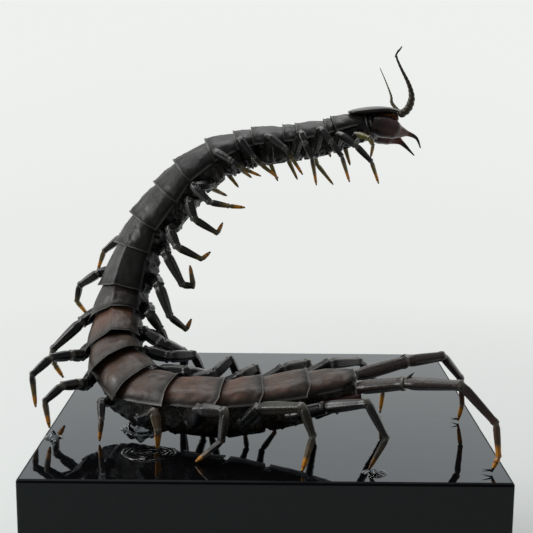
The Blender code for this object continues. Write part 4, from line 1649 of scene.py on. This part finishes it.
def ball(
    draft: MeshDraft, middle: Point, sizes: Point, around: int, levels: int, roughness: float = 0.0
) -> None:
    """Add a rounded lump, with its lengths in millimetres.

    Args:
        draft: mesh that takes it.
        middle: its middle, as a pose point.
        sizes: its half sizes along x, y and z.
        around: points round each ring.
        levels: stretches between its rings, along x.
        roughness: height of its random bumps.
    """
    centre = on_block(middle)

    def at(share: float, angle: float) -> Vector:
        """Point of the lump at a share of the way from end to end and an angle round x."""
        lean = math.pi * mix(0.02, 0.98, share)
        wide = math.sin(lean)
        direction = Vector((math.cos(lean), wide * math.cos(angle), wide * math.sin(angle)))
        place = centre + Vector(s * MM * d for s, d in zip(sizes, direction))
        if roughness:
            place += direction * (roughness * MM * lumps(place, 1.3 * MM, 5.0))
        return place

    draft.loft(levels, around, at)


def spike(draft: MeshDraft, base: Vector, tip: Vector, radius: float) -> None:
    """Add a thin cone with a rounded point.

    Args:
        draft: mesh that takes it.
        base: middle of its thick end.
        tip: its point.
        radius: thickness of its thick end in metres.
    """
    ahead = (tip - base).normalized()
    across = ahead.cross(Vector((0.0, 0.0, 1.0))).normalized()
    upward = across.cross(ahead)
    rows = []
    for share in (0.0, 0.25, 0.5, 0.75, 0.93, 1.0):
        width = radius * (1.0 - 0.95 * share**1.3)
        centre = base + (tip - base) * share + upward * (0.12 * (tip - base).length * share * (1.0 - share))
        around = [across * math.cos(a) + upward * math.sin(a) for a in turn(10)]
        rows.append([draft.add_point(centre + direction * width) for direction in around])
    draft.tube(rows)


@dataclass
class Tail:
    """The red-brown hip lobes of the last legs, under the last plate."""

    spine: Spine
    reach: float = 1.12
    thickness: tuple[float, float] = (2.3 * MM, 1.5 * MM)
    spread: float = 0.78
    level: float = -0.50
    roughness: float = 0.15 * MM
    steps: int = 14
    around: int = 24

    def build(self, finishes: Finishes) -> None:
        """Build the two lobes and the small end of the gut between them."""
        draft = MeshDraft()
        for side in Side:
            draft.loft(self.steps, self.around, partial(self.lobe, side))
        ball(draft, (23.4, -35.0, 15.6), (2.2, 1.5, 1.6), 20, 12, 0.1)
        settle(draft.make("tail_lobes", finishes.tail), "plate")

    def lobe(self, side: Side, along: float, angle: float) -> Vector:
        """Point of a lobe at a share of its length and an angle round it."""
        here = self.spine.between(TAIL_PLATE, mix(0.0, self.reach, along))
        half = mix(*self.thickness, along) * math.sin(math.pi * mix(0.20, 0.93, along)) ** 0.5
        place = here.place(side.value * self.spread, self.level) + here.right * (half * math.cos(angle))
        place += here.dorsal * (half * math.sin(angle))
        return place + here.dorsal * (self.roughness * lumps(place, 1.5 * MM, 9.0))


class DabKind(Enum):
    """Shape of a dab of resin: drawn up a foot, a rippled puddle, or a heap."""

    SKIRT = 1
    PUDDLE = 2
    LUMP = 3


# Ripples of the puddle: place as a share of its radius, and height as a share of its height.
RIPPLES = ((0.93, 0.34), (0.76, 0.24), (0.56, 0.28), (0.36, 0.26))
RIPPLE_REACH = 0.06

# Heaps of a lump, as shares of its size: x, y, reach and height.
HEAPS = (
    (-0.42, -0.28, 0.48, 0.55), (0.22, -0.42, 0.46, 0.45),
    (-0.02, 0.10, 0.60, 0.9), (0.5, 0.12, 0.45, 0.6),
)


@dataclass
class ResinDab:
    """A dab of clear resin on the block: outline, rise and the small waves in its skin."""

    name: str
    centre: tuple[float, float]
    size: tuple[float, float]
    height: float
    kind: DabKind
    rings: int = 22
    around: int = 64
    sink: float = 0.03

    def rise(self, share: float, angle: float) -> float:
        """Height at a share of the radius, from 0 to 1."""
        if self.kind is DabKind.SKIRT:
            return (1.0 - share) ** 2.2
        if self.kind is DabKind.PUDDLE:
            ripple = sum(height * bump(share, middle, RIPPLE_REACH) for middle, height in RIPPLES)
            return (1.0 - share**10) * 0.26 + ripple + 0.60 * bump(share, 0.0, 0.14)
        film = 0.10 * (1.0 - share**8) + 0.05 * bump(share, 0.90, 0.08)
        x, y = share * math.cos(angle), share * math.sin(angle)
        return film + max(h * bump(math.hypot(x - a, y - b), 0.0, r) for a, b, r, h in HEAPS)

    def build(self, finishes: Finishes) -> None:
        """Build the dab."""
        draft = MeshDraft()
        rows = []
        for level in range(self.rings + 1):
            share = 1.0 - level / (self.rings + 0.5)
            row = []
            for angle in turn(self.around):
                reach = share * (1.0 + 0.05 * math.sin(3 * angle))
                x = self.centre[0] + self.size[0] * reach * math.cos(angle)
                y = self.centre[1] + self.size[1] * reach * math.sin(angle)
                z = self.height * self.rise(share, angle)
                flat = Vector((x, y, 0.0))
                wave = 0.06 * lumps(flat, 1.6, 3.0)
                if self.kind is DabKind.LUMP:
                    wave = self.height * (0.10 * lumps(flat, 1.5, 3.0) + 0.06 * lumps(flat, 0.7, 8.0))
                wave *= 1.0 - share**8
                row.append(draft.add_point(on_block((x, y, max(z + wave, 0.02)))))
            rows.append(row)
        foot = []
        for edge in rows[0]:
            x, y, _ = draft.points[edge]
            foot.append(draft.add_point(Vector((x, y, BLOCK_HEIGHT - self.sink * MM))))
        draft.tube([foot, *rows])
        settle(draft.make(f"{self.name}_clear", finishes.clear_resin, 80), "resin", self.name)


class ResinBase:
    """The black block and the clear dabs on it."""

    def build(self, finishes: Finishes) -> None:
        """Dress the block and build the dabs."""
        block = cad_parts["block"]
        block.data.materials.clear()
        block.data.materials.append(finishes.black_resin)
        for dab in (
            ResinDab("resin_leg_15", (-57.0, -30.5), (2.9, 2.6), 2.6, DabKind.SKIRT),
            ResinDab("resin_leg_17", (-30.2, -41.6), (7.0, 5.4), 0.9, DabKind.PUDDLE),
            ResinDab("resin_leg_20", (26.8, -54.0), (3.1, 2.9), 1.1, DabKind.LUMP),
            ResinDab("resin_under_trunk", (-34.5, -22.6), (5.8, 5.0), 4.2, DabKind.LUMP),
        ):
            dab.build(finishes)


@dataclass
class Studio:
    """Pale floor and backdrop, soft lights and the camera."""

    camera_place: Point = (0.5, -287.2, 152.4)
    camera_pitch: float = 9.99
    camera_yaw: float = -0.14
    camera_roll: float = 0.43
    focal_pixels: float = 1002.0
    frame_pixels: float = 533.0
    sensor: float = 36.0
    floor_front: float = -0.32
    floor_back: float = 0.7
    cove_radius: float = 0.4
    cove_steps: int = 12
    wall_top: float = 1.1
    floor_reach: float = 2.4
    card_reach: float = 0.45
    card_span: tuple[float, float] = (-0.42, -0.064)
    card_level: float = 0.004
    light_power: float = 3.6
    dim: Colour = (0.11, 0.115, 0.125)
    pale: Colour = (0.80, 0.83, 0.815)

    def build_stage(self, finishes: Finishes) -> None:
        """A floor that curves up into a wall behind, and a dark card that the block's front mirrors."""
        draft = MeshDraft()
        profile = [(self.floor_front, 0.0), (self.floor_back, 0.0)]
        for step in range(1, self.cove_steps + 1):
            angle = 0.5 * math.pi * step / self.cove_steps
            out, up = math.sin(angle), 1.0 - math.cos(angle)
            profile.append((self.floor_back + self.cove_radius * out, self.cove_radius * up))
        profile.append((self.floor_back + self.cove_radius, self.wall_top))
        ends = (-self.floor_reach, self.floor_reach)
        rows = [[draft.add_point(Vector((x, y, z))) for x in ends] for y, z in profile]
        for near, far in zip(rows, rows[1:]):
            draft.bridge(near, far, closed=False)
        floor = draft.make("floor", finishes.floor, 180)
        if floor.data.polygons[0].normal.z < 0:
            floor.data.flip_normals()
        card = MeshDraft()
        side, (front, back) = self.card_reach, self.card_span
        corners = [(-side, front), (side, front), (side, back), (-side, back)]
        card.faces.append(tuple(card.add_point(Vector((x, y, self.card_level))) for x, y in corners))
        dark_card = card.make("dark_card", finishes.card, 180)
        dark_card.visible_camera = False
        dark_card.visible_shadow = False

    @staticmethod
    def add_light(name: str, place: Point, size: tuple[float, float], power: float) -> None:
        """Add a soft rectangular light that faces the object.

        Args:
            name: name of the light.
            place: its place.
            size: its width and height.
            power: its power in watts.
        """
        light = bpy.data.lights.new(name, "AREA")
        light.shape = "RECTANGLE"
        light.size, light.size_y = size
        light.energy = power
        obj = bpy.data.objects.new(name, light)
        obj.location = place
        obj.rotation_mode = "QUATERNION"
        obj.rotation_quaternion = (Vector(LIGHT_AIM) - Vector(place)).to_track_quat("-Z", "Y")
        bpy.context.scene.collection.objects.link(obj)

    def build_lights(self) -> None:
        """Pale surroundings that darken behind the camera, a large light above and one from the left."""
        world = bpy.data.worlds.new("studio")
        world.use_nodes = True
        sketch = NodeSketch(world.node_tree)
        place = sketch.add("ShaderNodeTexCoord").outputs["Generated"]
        parts = sketch.add("ShaderNodeSeparateXYZ", {0: place}).outputs
        lean = sketch.maths("SUBTRACT", parts["Y"], sketch.times(parts["Z"], 0.45))
        ahead = sketch.ranged(lean, -0.55, 0.55, 0.0, 1.0)
        colour = sketch.blend(ahead, self.dim, self.pale)
        sketch.join(colour, world.node_tree.nodes["Background"].inputs["Color"])
        bpy.context.scene.world = world
        bpy.context.scene.view_settings.view_transform = "Standard"
        self.add_light("overhead", (-0.15, 0.25, 0.95), (0.7, 0.6), self.light_power)
        self.add_light("left", (-0.75, -0.10, 0.45), (0.45, 0.45), self.light_power)

    def build_camera(self) -> None:
        """The camera where the photograph was taken from."""
        pitch, yaw, roll = (math.radians(a) for a in (self.camera_pitch, self.camera_yaw, self.camera_roll))
        forward = Vector((math.sin(yaw) * math.cos(pitch), math.cos(yaw) * math.cos(pitch), -math.sin(pitch)))
        level = Vector((math.cos(yaw), -math.sin(yaw), 0.0))
        upright = level.cross(forward)
        right = level * math.cos(roll) + upright * math.sin(roll)
        up = upright * math.cos(roll) - level * math.sin(roll)
        data = bpy.data.cameras.new("camera")
        data.sensor_width = self.sensor
        data.lens = self.sensor * self.focal_pixels / self.frame_pixels
        data.clip_start = 0.01
        camera = bpy.data.objects.new("camera", data)
        place = Matrix((right, up, -forward)).transposed().to_4x4()
        place.translation = Vector(self.camera_place) * MM
        camera.matrix_world = place
        bpy.context.scene.collection.objects.link(camera)
        bpy.context.scene.camera = camera

    def build(self, finishes: Finishes) -> None:
        """Build the studio."""
        self.build_stage(finishes)
        self.build_lights()
        self.build_camera()


def main() -> None:
    """Build the whole scene."""
    logging.basicConfig(level=logging.INFO, format="%(name)s: %(message)s")
    finishes = Finishes()
    trees = NodeTrees()
    spine = Spine()
    Studio().build(finishes)
    ResinBase().build(finishes)
    SoftSkin(spine).build(finishes)
    BackPlates(spine).build(finishes)
    BellyPlates(spine).build(finishes)
    Tail(spine).build(finishes)
    Legs(spine, trees).build(finishes)
    Head(trees).build(finishes)


if __name__ == "__main__":
    main()
